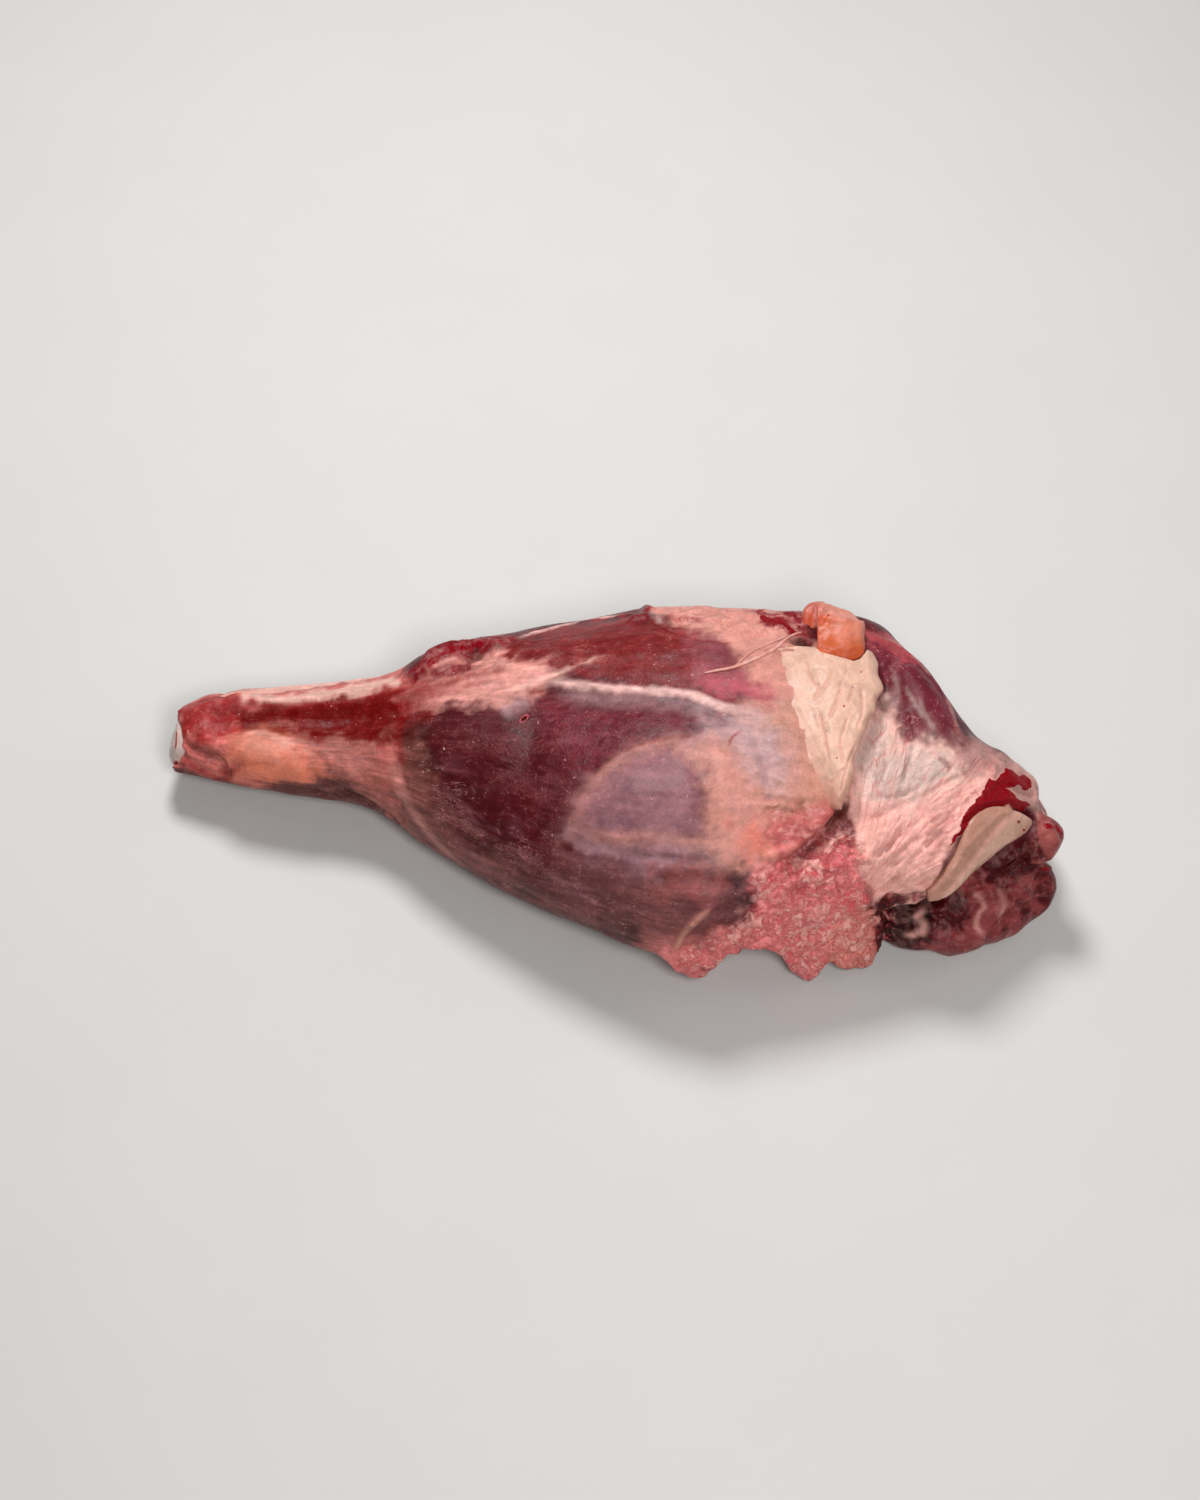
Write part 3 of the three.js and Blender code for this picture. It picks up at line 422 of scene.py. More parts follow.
# The cap of fat, from the top of the limb down to its tip: a height, and its left and its right edge there.
FAT_CAP = [
    (106, 158, 258), (92, 152, 267), (78, 154, 264), (60, 162, 267), (40, 166, 262),
    (20, 173, 251), (-4, 181, 240), (-16, 187, 243), (-40, 200, 233), (-60, 211, 226),
]
FAT_CAP_TOP = [
    (150, 100), (182, 104), (200, 103), (206, 98), (214, 96), (239, 89), (245, 91), (253, 100), (262, 96),
]
FAT_CAP_TOP_FROM = 66  # the height from which the rows bend to the top edge
FAT_CAP_DEEP = 6.0  # how far its underside reaches into the flesh
FAT_CAP_SUNK = 1.6  # its left edge dips this far into the flesh
FAT_CAP_FEATHER = 0.55  # share of its width over which the left side thins out
FAT_CAP_MELT = 26.0  # how wide the sunk edge is
FAT_CAP_RIM = 9.0  # how wide the rounding of the free edge is

# Creases of the cap: depth, reach and marks.
FAT_CREASES = [
    (2.2, 3.2, [(217, 76), (209, 62), (200, 53)]),
    (2.0, 3.0, [(239, 64), (234, 49)]),
    (2.2, 3.4, [(226, 60), (221, 46), (216, 35)]),
    (1.8, 3.0, [(228, -20), (216, -33)]),
    (1.6, 3.0, [(246, 60), (248, 40), (242, 22)]),
    (1.6, 3.0, [(205, 34), (210, 12), (214, -8)]),
    (1.4, 2.6, [(232, 30), (226, 8), (228, -12)]),
    (1.5, 2.6, [(240, 4), (232, -16), (226, -40)]),
    (1.2, 2.2, [(190, 88), (196, 72), (204, 60)]),
    (1.2, 2.2, [(232, 84), (229, 72), (224, 64)]),
]
# Spots of blood on the cap: x, height and width.
FAT_DOTS = [
    (212, 19, 2.6), (238, 63, 2.6), (229, 44, 2.6), (222, -8, 2.6), (246, 78, 2.6), (204, 66, 2.6),
]

# The loose strand of tendon, its branch, and the cut end of the vessel.
STRAND = [(89, 77), (104, 80), (119, 83), (141, 92), (159, 101), (171, 111), (180, 116), (187, 118)]
STRAND_BRANCH = [(119, 83), (136, 98), (158, 108), (172, 114)]
VESSEL = (-91, 31)
VESSEL_TILT = math.radians(40)

# ---------------- tissues


def linear(shade):
    """A colour of 0 to 255, as a screen shows it, in the linear values that materials take."""
    return tuple(((c / 255 + 0.055) / 1.055) ** 2.4 for c in shade)


def tissue(name, shade):
    """A colour that a user of the part may change."""
    return FloatVectorProperty(
        name=name, description=f"Colour of the {name.lower()}", subtype="COLOR",
        size=3, min=0.0, max=1.0, default=linear(shade),
    )


class LegColours(bpy.types.PropertyGroup):
    """The colours of the tissues."""

    muscle: tissue("Muscle under membrane", (82, 19, 25))
    purple: tissue("Purple muscle", (116, 28, 44))
    upper_red: tissue("Muscle of the upper edge", (121, 28, 30))
    shoulder: tissue("Muscle of the shoulder", (113, 37, 49))
    mauve: tissue("Oval muscle", (146, 99, 106))
    grey_mauve: tissue("Muscle below the oval", (178, 137, 144))
    lavender: tissue("Lavender membrane", (142, 75, 82))
    lavender_veil: tissue("Pale lavender membrane", (193, 156, 158))
    thread: tissue("Fine fibres of the membrane", (222, 160, 156))
    haze: tissue("Haze of the membrane", (186, 122, 134))
    magenta: tissue("Magenta muscle", (175, 78, 90))
    silver: tissue("Silver membrane", (215, 190, 179))
    veil_pink: tissue("Pink membrane", (239, 166, 153))
    fascia_pink: tissue("Pink tendon sheet", (161, 95, 84))
    grey_fascia: tissue("Grey tendon sheet in painted shade", (118, 65, 61))
    band_cream: tissue("Cream tendon band", (239, 189, 181))
    bone_skin: tissue("Pale skin of the bone", (228, 178, 164))
    pink: tissue("Pink of the shank", (202, 106, 98))
    peach: tissue("Fat of the shank", (231, 129, 97))
    peach_cream: tissue("Peach fat", (207, 141, 126))
    cream_pink: tissue("Cream fat", (202, 141, 121))
    pale_fat: tissue("Fat of the top edge", (213, 147, 133))
    fat: tissue("Cap of fat", (221, 177, 155))
    fat_block: tissue("Block of fat", (206, 97, 55))
    fold_fat: tissue("Fold of fat", (196, 84, 64))
    salmon: tissue("Salmon membrane", (210, 145, 132))
    coral: tissue("Coral membrane", (217, 99, 78))
    raw_pink: tissue("Raw pink tissue", (187, 87, 87))
    torn_pink: tissue("Torn pink tissue", (247, 141, 140))
    torn_pale: tissue("Folds of the torn tissue", (250, 182, 172))
    torn_red: tissue("Creases of the torn tissue", (206, 44, 56))
    rose: tissue("Rose tissue", (182, 78, 84))
    hem_pink: tissue("Hem of the limb", (186, 104, 98))
    tan_pink: tissue("Tan hem", (236, 147, 132))
    shoulder_pink: tissue("Wrinkled shoulder", (247, 182, 169))
    rim_pink: tissue("Rim of the shoulder", (184, 137, 129))
    knob_pink: tissue("Knob of the far corner", (160, 82, 78))
    brown: tissue("Brown muscle", (123, 72, 71))
    brown_red: tissue("Brown red muscle", (172, 86, 81))
    grey_dark: tissue("Grey bruise", (62, 42, 48))
    shade: tissue("Shaded edge of the muscle", (70, 36, 34))
    # Painted shadow of the hollow under the rib flesh
    cavity_shadow: tissue("Hollow of the rib flesh", (18, 3, 4))
    rib_muscle: tissue("Muscle of the rib flesh", (74, 16, 19))
    rib_pink: tissue("Fat in the rib flesh", (139, 60, 62))
    crimson: tissue("Crimson film", (111, 3, 4))
    raw_red: tissue("Raw red", (142, 12, 18))
    bright_red: tissue("Bright red", (247, 82, 89))
    dark_red: tissue("Dark red", (119, 18, 28))
    # Painted shadow: in the hole beside the fat block, and in the seam below the fat and behind it
    shadow_red: tissue("Red of painted shadow", (81, 6, 7))
    # Near black: the dark red beside the fan, and painted shade in the joint's folds, along the shank's
    # lower edge, under the lip over the gristle and in the flesh's hollows
    dark_blood_and_shade: tissue("Dark blood and painted shade", (24, 3, 3))
    blood: tissue("Fresh blood", (134, 4, 20))
    gristle: tissue("Gristle", (213, 166, 144))
    gristle_shade: tissue("Shaded gristle", (178, 124, 106))
    joint: tissue("Joint gristle", (206, 182, 174))
    floor: tissue("Floor", (208, 206, 203))


def length(name, description, default, least):
    """A size, in metres, that a user of the part may change."""
    return FloatProperty(
        name=name, description=description, default=default, min=least, unit="LENGTH", subtype="DISTANCE",
    )


class LegSizes(bpy.types.PropertyGroup):
    """The sizes that set how fine and how rough the tissues are."""

    flesh_step: length("Flesh mesh", "Spacing of the points of the flesh", 0.0048, 0.002)
    lump_step: length("Small pieces' mesh", "Spacing of the points of block and gristle", 0.0014, 0.0008)
    clod_height: length("Torn lumps", "How far the lumps of the torn tissue stand out", 0.0074, 0.0)
    wrinkle_height: length("Wrinkles", "How high the wrinkles of the loose membrane are", 0.0019, 0.0)
    fat_thickness: length("Cap of fat", "How thick the cap of fat is at its free edge", 0.011, 0.002)
    strand_width: length("Tendon strand", "How wide the loose strand of tendon is", 0.0040, 0.0005)
    vessel_length: length("Cut vessel", "How long the cut end of the vessel is", 0.013, 0.002)
    floor_length: length("Floor", "How long each side of the floor is", 12.0, 2.0)


# ---------------- places on the face

NOTHING = 1e-9  # what lengths are kept above before something is divided by them


def eased(share):
    """0 below 0, 1 above 1, and smooth between."""
    share = np.clip(share, 0.0, 1.0)
    return share * share * (3.0 - 2.0 * share)


def to_face(points):
    """x and h on the shown face of points in millimetres."""
    from_eye = points - EYE
    scale = FACE_DISTANCE / (from_eye @ FORWARD)
    return np.column_stack([from_eye[:, 0] * scale + FACE_MIDDLE_X, (from_eye @ UP) * scale])


def as_points(places):
    """Places on the face as points, with nothing for their third value."""
    return np.column_stack([places, np.zeros(len(places))])


def ray_to(x, h):
    """The direction from the eye through a place on the shown face."""
    ray = FORWARD * FACE_DISTANCE + RIGHT * (x - FACE_MIDDLE_X) + UP * h
    return Vector(ray / np.linalg.norm(ray))


def smooth_line(marks, spacing=6.0):
    """Places along a smooth line through the marks, about evenly spaced."""
    marks = np.array(marks, float)
    padded = np.vstack([2 * marks[0] - marks[1], marks, 2 * marks[-1] - marks[-2]])
    line = []
    for before, start, end, after in zip(padded, padded[1:], padded[2:], padded[3:]):
        steps = max(2, int(np.linalg.norm(end - start) / spacing) + 1)
        for t in np.linspace(0, 1, steps, endpoint=False):
            line.append(0.5 * (
                2 * start + (end - before) * t + (2 * before - 5 * start + 4 * end - after) * t**2
                + (3 * start - before - 3 * end + after) * t**3
            ))
    return np.array(line + [marks[-1]])


def anchor(tree, places):
    """The points where places on the face lie on a surface, in millimetres."""
    anchored = []
    for x, h in places:
        ray = ray_to(x, h)
        hit = tree.ray_cast(Vector(EYE), ray)[0]
        if hit is None:
            hit = tree.find_nearest(Vector(EYE) + ray * AIM_DISTANCE)[0]
        anchored.append(hit)
    return np.array(anchored)


def first_hits(tree, rays):
    """How far from the eye each ray meets a surface, nan where it meets none."""
    hits = [tree.ray_cast(Vector(EYE), Vector(ray))[3] for ray in rays]
    return np.array([np.nan if hit is None else hit for hit in hits])


def to_stretch(points, start, end):
    """How far along a straight stretch each point lies, 0 to 1, and how far off it."""
    side = end - start
    along = np.clip(((points - start) @ side) / max(side @ side, NOTHING), 0, 1)
    return along, np.linalg.norm(points - start - along[:, None] * side, axis=1)


def in_box(points, corners, margin):
    """Which points lie in the box round some corners, widened by a margin."""
    low, high = corners.min(axis=0) - margin, corners.max(axis=0) + margin
    return np.flatnonzero(((points > low) & (points < high)).all(axis=1))


def nearness(points, line, reach, taper=0.0):
    """1 on a line of points, easing to 0 at its reach and over the tapered share at each of its ends."""
    weight = np.zeros(len(points))
    near = in_box(points, line, reach)
    distance = np.full(len(near), np.inf)
    share = np.zeros(len(near))
    for index, (start, end) in enumerate(zip(line, line[1:])):
        along, gap = to_stretch(points[near], start, end)
        share = np.where(gap < distance, (index + along) / (len(line) - 1), share)
        distance = np.minimum(distance, gap)
    weight[near] = eased(1.0 - distance / reach)
    if taper:
        weight[near] *= eased(np.minimum(share, 1 - share) / taper)
    return weight


def within(places, corners, softness):
    """1 inside an outline on the face, 0 outside, eased across its edge."""
    corners = np.array(corners, float)
    near = in_box(places, corners, softness)
    close = places[near]
    distance = np.full(len(near), np.inf)
    inside = np.zeros(len(near), bool)
    for start, end in zip(corners, np.roll(corners, -1, axis=0)):
        distance = np.minimum(distance, to_stretch(close, start, end)[1])
        if start[1] != end[1]:
            straddles = (start[1] > close[:, 1]) != (end[1] > close[:, 1])
            crossing = start[0] + (close[:, 1] - start[1]) / (end[1] - start[1]) * (end[0] - start[0])
            inside ^= straddles & (close[:, 0] < crossing)
    weight = np.zeros(len(places))
    weight[near] = eased(0.5 + np.where(inside, distance, -distance) / softness)
    return weight


def dots(places, amount, marks):
    """Round spots on the face, each with its x, its h and its width."""
    strength = np.zeros(len(places))
    for x, h, width in marks:
        gap = np.hypot(places[:, 0] - x, places[:, 1] - h)
        strength = np.maximum(strength, amount * eased(1 - gap / width))
    return strength


# ---------------- unevenness

WHOLE = 0xFFFFFFFF  # the largest number that a cell can get
CELL_FACTORS = (73856093, 19349663, 83492791)
SALT_FACTOR = 40503
STIRS = (0x9E3779B1, 0x85EBCA6B)
NOISE_GAIN = 1.6


def scramble(cells, salt):
    """A repeatable whole number for each cell of a grid."""
    across, up, deep = (cells[:, axis] * factor for axis, factor in enumerate(CELL_FACTORS))
    stirred = across ^ up ^ deep ^ (salt * SALT_FACTOR)
    stirred = (stirred & WHOLE) * STIRS[0] & WHOLE
    stirred = (stirred ^ (stirred >> 15)) * STIRS[1] & WHOLE
    return stirred ^ (stirred >> 13)


SLOPES = np.random.default_rng(11).normal(size=(256, 3))
SLOPES /= np.linalg.norm(SLOPES, axis=1)[:, None]


def unevenness(points, size, salt=0, octaves=1):
    """Smooth noise from about -1 to 1, with lumps of a size in millimetres, and finer ones on them."""
    total = np.zeros(len(points))
    strength = 1.0
    for octave in range(octaves):
        scaled = points / size * 2**octave
        cell = np.floor(scaled).astype(np.int64)
        part = scaled - cell
        blend = part**3 * (part * (part * 6 - 15) + 10)
        value = np.zeros(len(points))
        for corner in np.ndindex(2, 2, 2):
            corner = np.array(corner)
            slope = SLOPES[scramble(cell + corner, salt + octave) & 255]
            share = np.where(corner, blend, 1 - blend).prod(axis=1)
            value += share * ((part - corner) * slope).sum(axis=1)
        total += strength * value * NOISE_GAIN
        strength *= 0.5
    return total


def columns_of(points, size, salts, octaves):
    """A column of unevenness for each salt."""
    return np.column_stack([unevenness(points, size, salt, octaves) for salt in salts])


def layered(points, rows):
    """A sum of unevenness: each row has how strong it is, its size, its salt and its octaves."""
    return sum(strength * unevenness(points, size, salt, octaves) for strength, size, salt, octaves in rows)


def ridged(noise, narrowness):
    """1 where noise passes its middle, and less away from there."""
    return 1 - narrowness * np.abs(noise)


def drawn_out(points, share):
    """Points pressed together along X, which draws out along it what is made from them."""
    return points * np.array([share, 1.0, 1.0])


def clods(points, size, salt=0):
    """The distance to the nearest of scattered seeds, 0 to about 1: rounded lumps with creases between."""
    scaled = points / size
    cell = np.floor(scaled).astype(np.int64)
    nearest = np.full(len(points), np.inf)
    for step in np.ndindex(3, 3, 3):
        near = cell + np.array(step) - 1
        seed = near + np.column_stack([(scramble(near, salt + k) & 1023) / 1023.0 for k in (1, 2, 3)])
        nearest = np.minimum(nearest, np.linalg.norm(scaled - seed, axis=1))
    return nearest


# ---------------- meshes


def mesh_from(shape, name):
    """A mesh from a shape, which is freed."""
    mesh = bpy.data.meshes.new(name)
    shape.to_mesh(mesh)
    shape.free()
    return mesh


def cad_shape(node_name):
    """A closed shape in millimetres from the loose triangles of a CAD node."""
    shape = bmesh.new()
    shape.from_mesh(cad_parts[node_name].data)
    bmesh.ops.remove_doubles(shape, verts=shape.verts, dist=TOUCHING)
    bmesh.ops.scale(shape, verts=shape.verts, vec=(1 / MM, 1 / MM, 1 / MM))
    return shape


def even_mesh(shape, step):
    """A mesh of even squares, a step in millimetres apart, over a closed shape. The shape is freed."""
    rough = mesh_from(shape, "rough")
    holder = bpy.data.objects.new("rough", rough)
    bpy.context.scene.collection.objects.link(holder)
    remesh = holder.modifiers.new("Even", "REMESH")
    remesh.mode = "VOXEL"
    remesh.voxel_size = step
    shown = holder.evaluated_get(bpy.context.evaluated_depsgraph_get())
    mesh = bpy.data.meshes.new_from_object(shown)
    bpy.data.objects.remove(holder)
    bpy.data.meshes.remove(rough)
    return mesh


def read_rows(items, key):
    """The three values that each item of a mesh has under a key."""
    values = np.empty(len(items) * 3, np.float32)
    items.foreach_get(key, values)
    return values.reshape(-1, 3).astype(float)


def read_points(mesh):
    return read_rows(mesh.vertices, "co")


def write_points(mesh, points):
    mesh.vertices.foreach_set("co", points.astype(np.float32).ravel())
    mesh.update()


def surface_tree(mesh, unit=1.0):
    """A search tree over a mesh, in its own units or in a part of them."""
    corners = [tuple(face.vertices) for face in mesh.polygons]
    return BVHTree.FromPolygons((read_points(mesh) / unit).tolist(), corners)


class Neighbours:
    """Which points of a mesh are joined by an edge."""

    def __init__(self, mesh):
        edges = np.empty(len(mesh.edges) * 2, np.int64)
        mesh.edges.foreach_get("vertices", edges)
        edges = edges.reshape(-1, 2)
        starts = np.concatenate([edges[:, 0], edges[:, 1]])
        ends = np.concatenate([edges[:, 1], edges[:, 0]])
        order = np.argsort(starts, kind="stable")
        self.ends = ends[order]
        self.count = np.bincount(starts, minlength=len(mesh.vertices))
        self.first = np.concatenate([[0], np.cumsum(self.count)[:-1]])

    def mean(self, values):
        """For each point, the mean of its neighbours' values, which are rows."""
        return np.add.reduceat(values[self.ends], self.first, axis=0) / self.count[:, None]

    def smooth(self, values, rounds):
        """Evens values out over the mesh without shrinking the shape much."""
        for _ in range(rounds):
            values = values + 0.5 * (self.mean(values) - values)
            values = values - 0.52 * (self.mean(values) - values)
        return values

    def relax(self, values, rounds):
        """Evens values out over the mesh."""
        for _ in range(rounds):
            values = values + 0.5 * (self.mean(values) - values)
        return values

    def directions(self, mesh, rounds):
        """The outward direction at each point, evened out."""
        normals = self.relax(read_rows(mesh.vertex_normals, "vector"), rounds)
        return normals / np.linalg.norm(normals, axis=1)[:, None]


LAYER_KEYS = {"FLOAT": "value", "FLOAT_VECTOR": "vector", "FLOAT_COLOR": "color"}


def store(mesh, name, kind, values):
    """Keeps a value for each point of a mesh, for its material."""
    layer = mesh.attributes.new(name, kind, "POINT")
    if kind == "FLOAT_COLOR":
        values = np.column_stack([values, np.ones(len(values))])
    layer.data.foreach_set(LAYER_KEYS[kind], values.astype(np.float32).ravel())


def finish_piece(name, mesh, material, slot, *nodes):
    """Puts a mesh in millimetres into the scene as a finished piece that stands for CAD nodes."""
    mesh.name = name
    mesh.transform(Matrix.Scale(MM, 4))
    mesh.polygons.foreach_set("use_smooth", np.ones(len(mesh.polygons), bool))
    mesh.materials.clear()
    mesh.materials.append(material)
    mesh.update()
    piece = bpy.data.objects.new(name, mesh)
    bpy.context.scene.collection.objects.link(piece)
    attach(piece, "root")
    if nodes:
        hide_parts(*nodes)


def finish_firm(name, mesh, tint, stain, material, slot, *nodes):
    """Keeps the colours of a piece of fat, gristle or bone, and finishes it."""
    store(mesh, "tint", "FLOAT_COLOR", tint)
    store(mesh, "stain", "FLOAT", stain)
    finish_piece(name, mesh, material, slot, *nodes)


def laid(colour, count, layers=()):
    """A colour for each of so many points, with others laid over it in turn, each by its own weights."""
    tint = np.tile(np.array(colour), (count, 1))
    for weight, over in layers:
        tint = blended(tint, weight, over)
    return tint


def blended(tint, weight, colour):
    """Colours of points, turned into another colour by the weight at each point."""
    return tint + weight[:, None] * (np.array(colour) - tint)


# ---------------- materials

NOISE_LOW = 0.3  # most values of noise lie between these
NOISE_HIGH = 0.7
SWIRL_REACH = 0.022  # how far the torn tissue's folds are swirled about, in metres


class Signal:
    """An output of a shader node. It can be added to, lessened by and multiplied by others and numbers."""

    def __init__(self, made, output):
        self.tree = made.id_data
        self.socket = made.outputs[output]

    def combined(self, operation, other=0.0, clamp=False):
        inputs = {0: self, 1: other}
        return signal(self.tree, "ShaderNodeMath", 0, inputs, operation=operation, use_clamp=clamp)

    def __add__(self, other):
        return self.combined("ADD", other)

    def __sub__(self, other):
        return self.combined("SUBTRACT", other)

    def __mul__(self, other):
        return self.combined("MULTIPLY", other)

    def less(self, other):
        """The difference, kept between 0 and 1."""
        return self.combined("SUBTRACT", other, clamp=True)

    def or_more(self, other):
        """The larger of the two."""
        return self.combined("MAXIMUM", other)


def fill(made, inputs):
    """Fills the sockets of a shader node with values or with other nodes' outputs."""
    for key, value in inputs.items():
        if isinstance(value, Signal):
            made.id_data.links.new(value.socket, made.inputs[key])
        else:
            made.inputs[key].default_value = value


def node(tree, kind, inputs=None, **settings):
    """Adds a shader node, and fills its sockets."""
    made = tree.nodes.new(kind)
    for key, value in settings.items():
        setattr(made, key, value)
    fill(made, inputs or {})
    return made


def signal(tree, kind, output, inputs=None, **settings):
    """One output of a new shader node."""
    return Signal(node(tree, kind, inputs, **settings), output)


def new_material(name):
    """A new material, its node tree and its shader."""
    material = bpy.data.materials.new(name)
    material.use_nodes = True
    tree = material.node_tree
    return material, tree, tree.nodes["Principled BSDF"]


def mixed(share, colour, over):
    """A fixed colour laid over another node's colour."""
    inputs = {0: share, 6: colour, 7: (*over, 1.0)}
    return signal(share.tree, "ShaderNodeMix", 2, inputs, data_type="RGBA", clamp_factor=True)


def scaled_colour(colour, share):
    """A colour made darker or lighter."""
    inputs = {0: colour, "Scale": share}
    return signal(share.tree, "ShaderNodeVectorMath", "Vector", inputs, operation="SCALE")


def ranged(value, low, high, to_low=0.0, to_high=1.0):
    """A value's range turned into another, smoothly and without leaving it."""
    limits = {"Value": value, "From Min": low, "From Max": high, "To Min": to_low, "To Max": to_high}
    return signal(value.tree, "ShaderNodeMapRange", "Result", limits, interpolation_type="SMOOTHSTEP")


def varied(noise, low, high):
    """Noise turned into values that go from low to high."""
    return ranged(noise, NOISE_LOW, NOISE_HIGH, low, high)


def grained(vector, scale, detail=3.0, rough=0.55, twist=0.0):
    """Noise over a vector, as a value about 0.5."""
    inputs = {"Vector": vector, "Scale": scale, "Detail": detail, "Roughness": rough, "Distortion": twist}
    return signal(vector.tree, "ShaderNodeTexNoise", "Fac", inputs)


def attribute(tree, name, output="Fac"):
    """What store() kept for each point under a name."""
    return signal(tree, "ShaderNodeAttribute", output, attribute_name=name)


def pressed(vector, share):
    """A vector pressed together along X, which draws out noise along it."""
    inputs = {"Vector": vector, "Scale": (share, 1.0, 1.0)}
    return signal(vector.tree, "ShaderNodeMapping", "Vector", inputs)


def thread_of(noise, width):
    """Thin curling lines where noise passes its middle."""
    return ranged((noise - 0.5).combined("ABSOLUTE"), 0.0, width, 1.0, 0.0)


def bumped(height, depth, strength, below=None):
    """A fine relief, as a normal, from a height of 0 to 1 that stands for a depth in metres."""
    inputs = {"Height": height, "Distance": depth, "Strength": strength}
    if below is not None:
        inputs["Normal"] = below
    return signal(height.tree, "ShaderNodeBump", "Normal", inputs)


def flesh_material(colours):
    """Wet muscle with fibres, wisps of membrane, flecks, torn lumps and blood."""
    material, tree, shader = new_material("wet_flesh")
    masks = node(tree, "ShaderNodeSeparateColor", {"Color": attribute(tree, "tissue", "Color")})
    veil, torn, bloody = (Signal(masks, name) for name in ("Red", "Green", "Blue"))
    fanned, fibrous, pleated = (attribute(tree, name) for name in ("fanned", "fibrous", "pleated"))
    grain, fan = (attribute(tree, name, "Vector") for name in ("grain", "fan"))
    place = signal(tree, "ShaderNodeTexCoord", "Object")

    def fibres(scale, detail, twist, share):
        """Noise drawn out along the limb, and over the shoulder along its fan."""
        along, spread = (grained(pressed(way, share), scale, detail, 0.6, twist) for way in (grain, fan))
        return signal(tree, "ShaderNodeMix", 0, {0: fanned, 2: along, 3: spread}, data_type="FLOAT")

    coarse = fibres(70.0, 3.0, 0.6, 0.16)
    fine = fibres(260.0, 2.0, 0.3, 0.12)
    mottle = grained(place, 90.0, 5.0, 0.6, 0.4)
    speckle = grained(place, 420.0, 2.0)

    # Muscle and membrane: darker and lighter along the fibres, blotched across them.
    strand = (varied(coarse, 0.74, 1.24) * varied(fine, 0.86, 1.12) - 1.0) * fibrous + 1.0
    blotch = varied(mottle, 0.84, 1.14) * varied(speckle, 0.93, 1.06)
    colour = scaled_colour(attribute(tree, "tint", "Color"), strand * blotch)

    # Wisps of silvery membrane over it, with fine curled fibres.
    wisps = ranged(fibres(46.0, 6.0, 1.2, 0.34), 0.48, 0.72)
    colour = mixed(wisps * veil * 0.34, colour, colours.haze)
    curls = thread_of(fibres(95.0, 2.5, 2.0, 0.40), 0.022) * ranged(mottle, 0.46, 0.60)
    tiny = thread_of(grained(place, 210.0, 2.0, 0.5, 2.5), 0.035) * ranged(coarse, 0.48, 0.60)
    curls = curls.or_more(tiny)
    colour = mixed(curls * ranged(veil, 0.0, 1.0, 0.08, 0.55).less(torn), colour, colours.thread)

    # Loose membrane: long thin wrinkles, redder in their grooves.
    fold_line = grained(pressed(fan, 0.14), 75.0, 3.0, 0.55, 0.8)
    grooves = thread_of(fold_line, 0.05) * pleated
    colour = mixed(grooves * ranged(mottle, 0.40, 0.65, 0.04, 0.55), colour, colours.raw_pink)

    # Torn tissue: crumpled pale folds, red between them.
    swirl = signal(tree, "ShaderNodeTexNoise", "Color", {"Vector": place, "Scale": 38.0, "Detail": 3.0})
    inputs = {0: swirl, 1: (SWIRL_REACH, SWIRL_REACH, SWIRL_REACH), 2: place}
    swirled = signal(tree, "ShaderNodeVectorMath", "Vector", inputs, operation="MULTIPLY_ADD")
    fold = grained(swirled, 48.0, 3.0, 0.55, 1.4)
    pleat = grained(swirled, 120.0, 3.0, 0.55, 1.0)
    creases = thread_of(fold, 0.045).or_more(thread_of(pleat, 0.05) * 0.7)
    pale = ranged(fold * 0.6 + pleat * 0.4, 0.47, 0.60)
    colour = mixed(pale * torn * 0.75, colour, colours.torn_pale)
    colour = mixed(creases * torn * 0.5, colour, colours.torn_red)

    # A few white flecks.
    fleck = ranged(grained(swirled, 330.0, 1.0, 0.5, 0.6), 0.70, 0.76) * ranged(mottle, 0.50, 0.62)
    colour = mixed(fleck * 0.6, colour, colours.band_cream)

    # Blood, with a crisp wandering edge.
    pool = ranged(bloody + (mottle - 0.5) * 0.9, 0.38, 0.58)
    colour = mixed(pool, colour, colours.blood)

    crinkle = grained(place, 190.0, 4.0, 0.62, 1.2)
    relief = bumped(coarse, 0.0014, fibrous * 0.5)
    relief = bumped(fine, 0.0005, fibrous * 0.45, relief)
    relief = bumped(crinkle, 0.0014, 0.42, relief)
    relief = bumped(wisps.or_more(curls), 0.0006, veil * 0.7, relief)
    relief = bumped(pale - creases, 0.0028, torn * 0.6, relief)
    relief = bumped(fold_line - grooves, 0.0016, pleated * 0.45, relief)

    fill(shader, {
        "Base Color": colour,
        "Roughness": (varied(mottle, 0.28, 0.44) + torn * 0.06).less(pool * 0.14),
        "Normal": relief,
        "Specular IOR Level": 0.13,
        "Subsurface Weight": 0.18,
        "Subsurface Radius": (1.0, 0.32, 0.22),
        "Subsurface Scale": 0.003,
    })
    return material


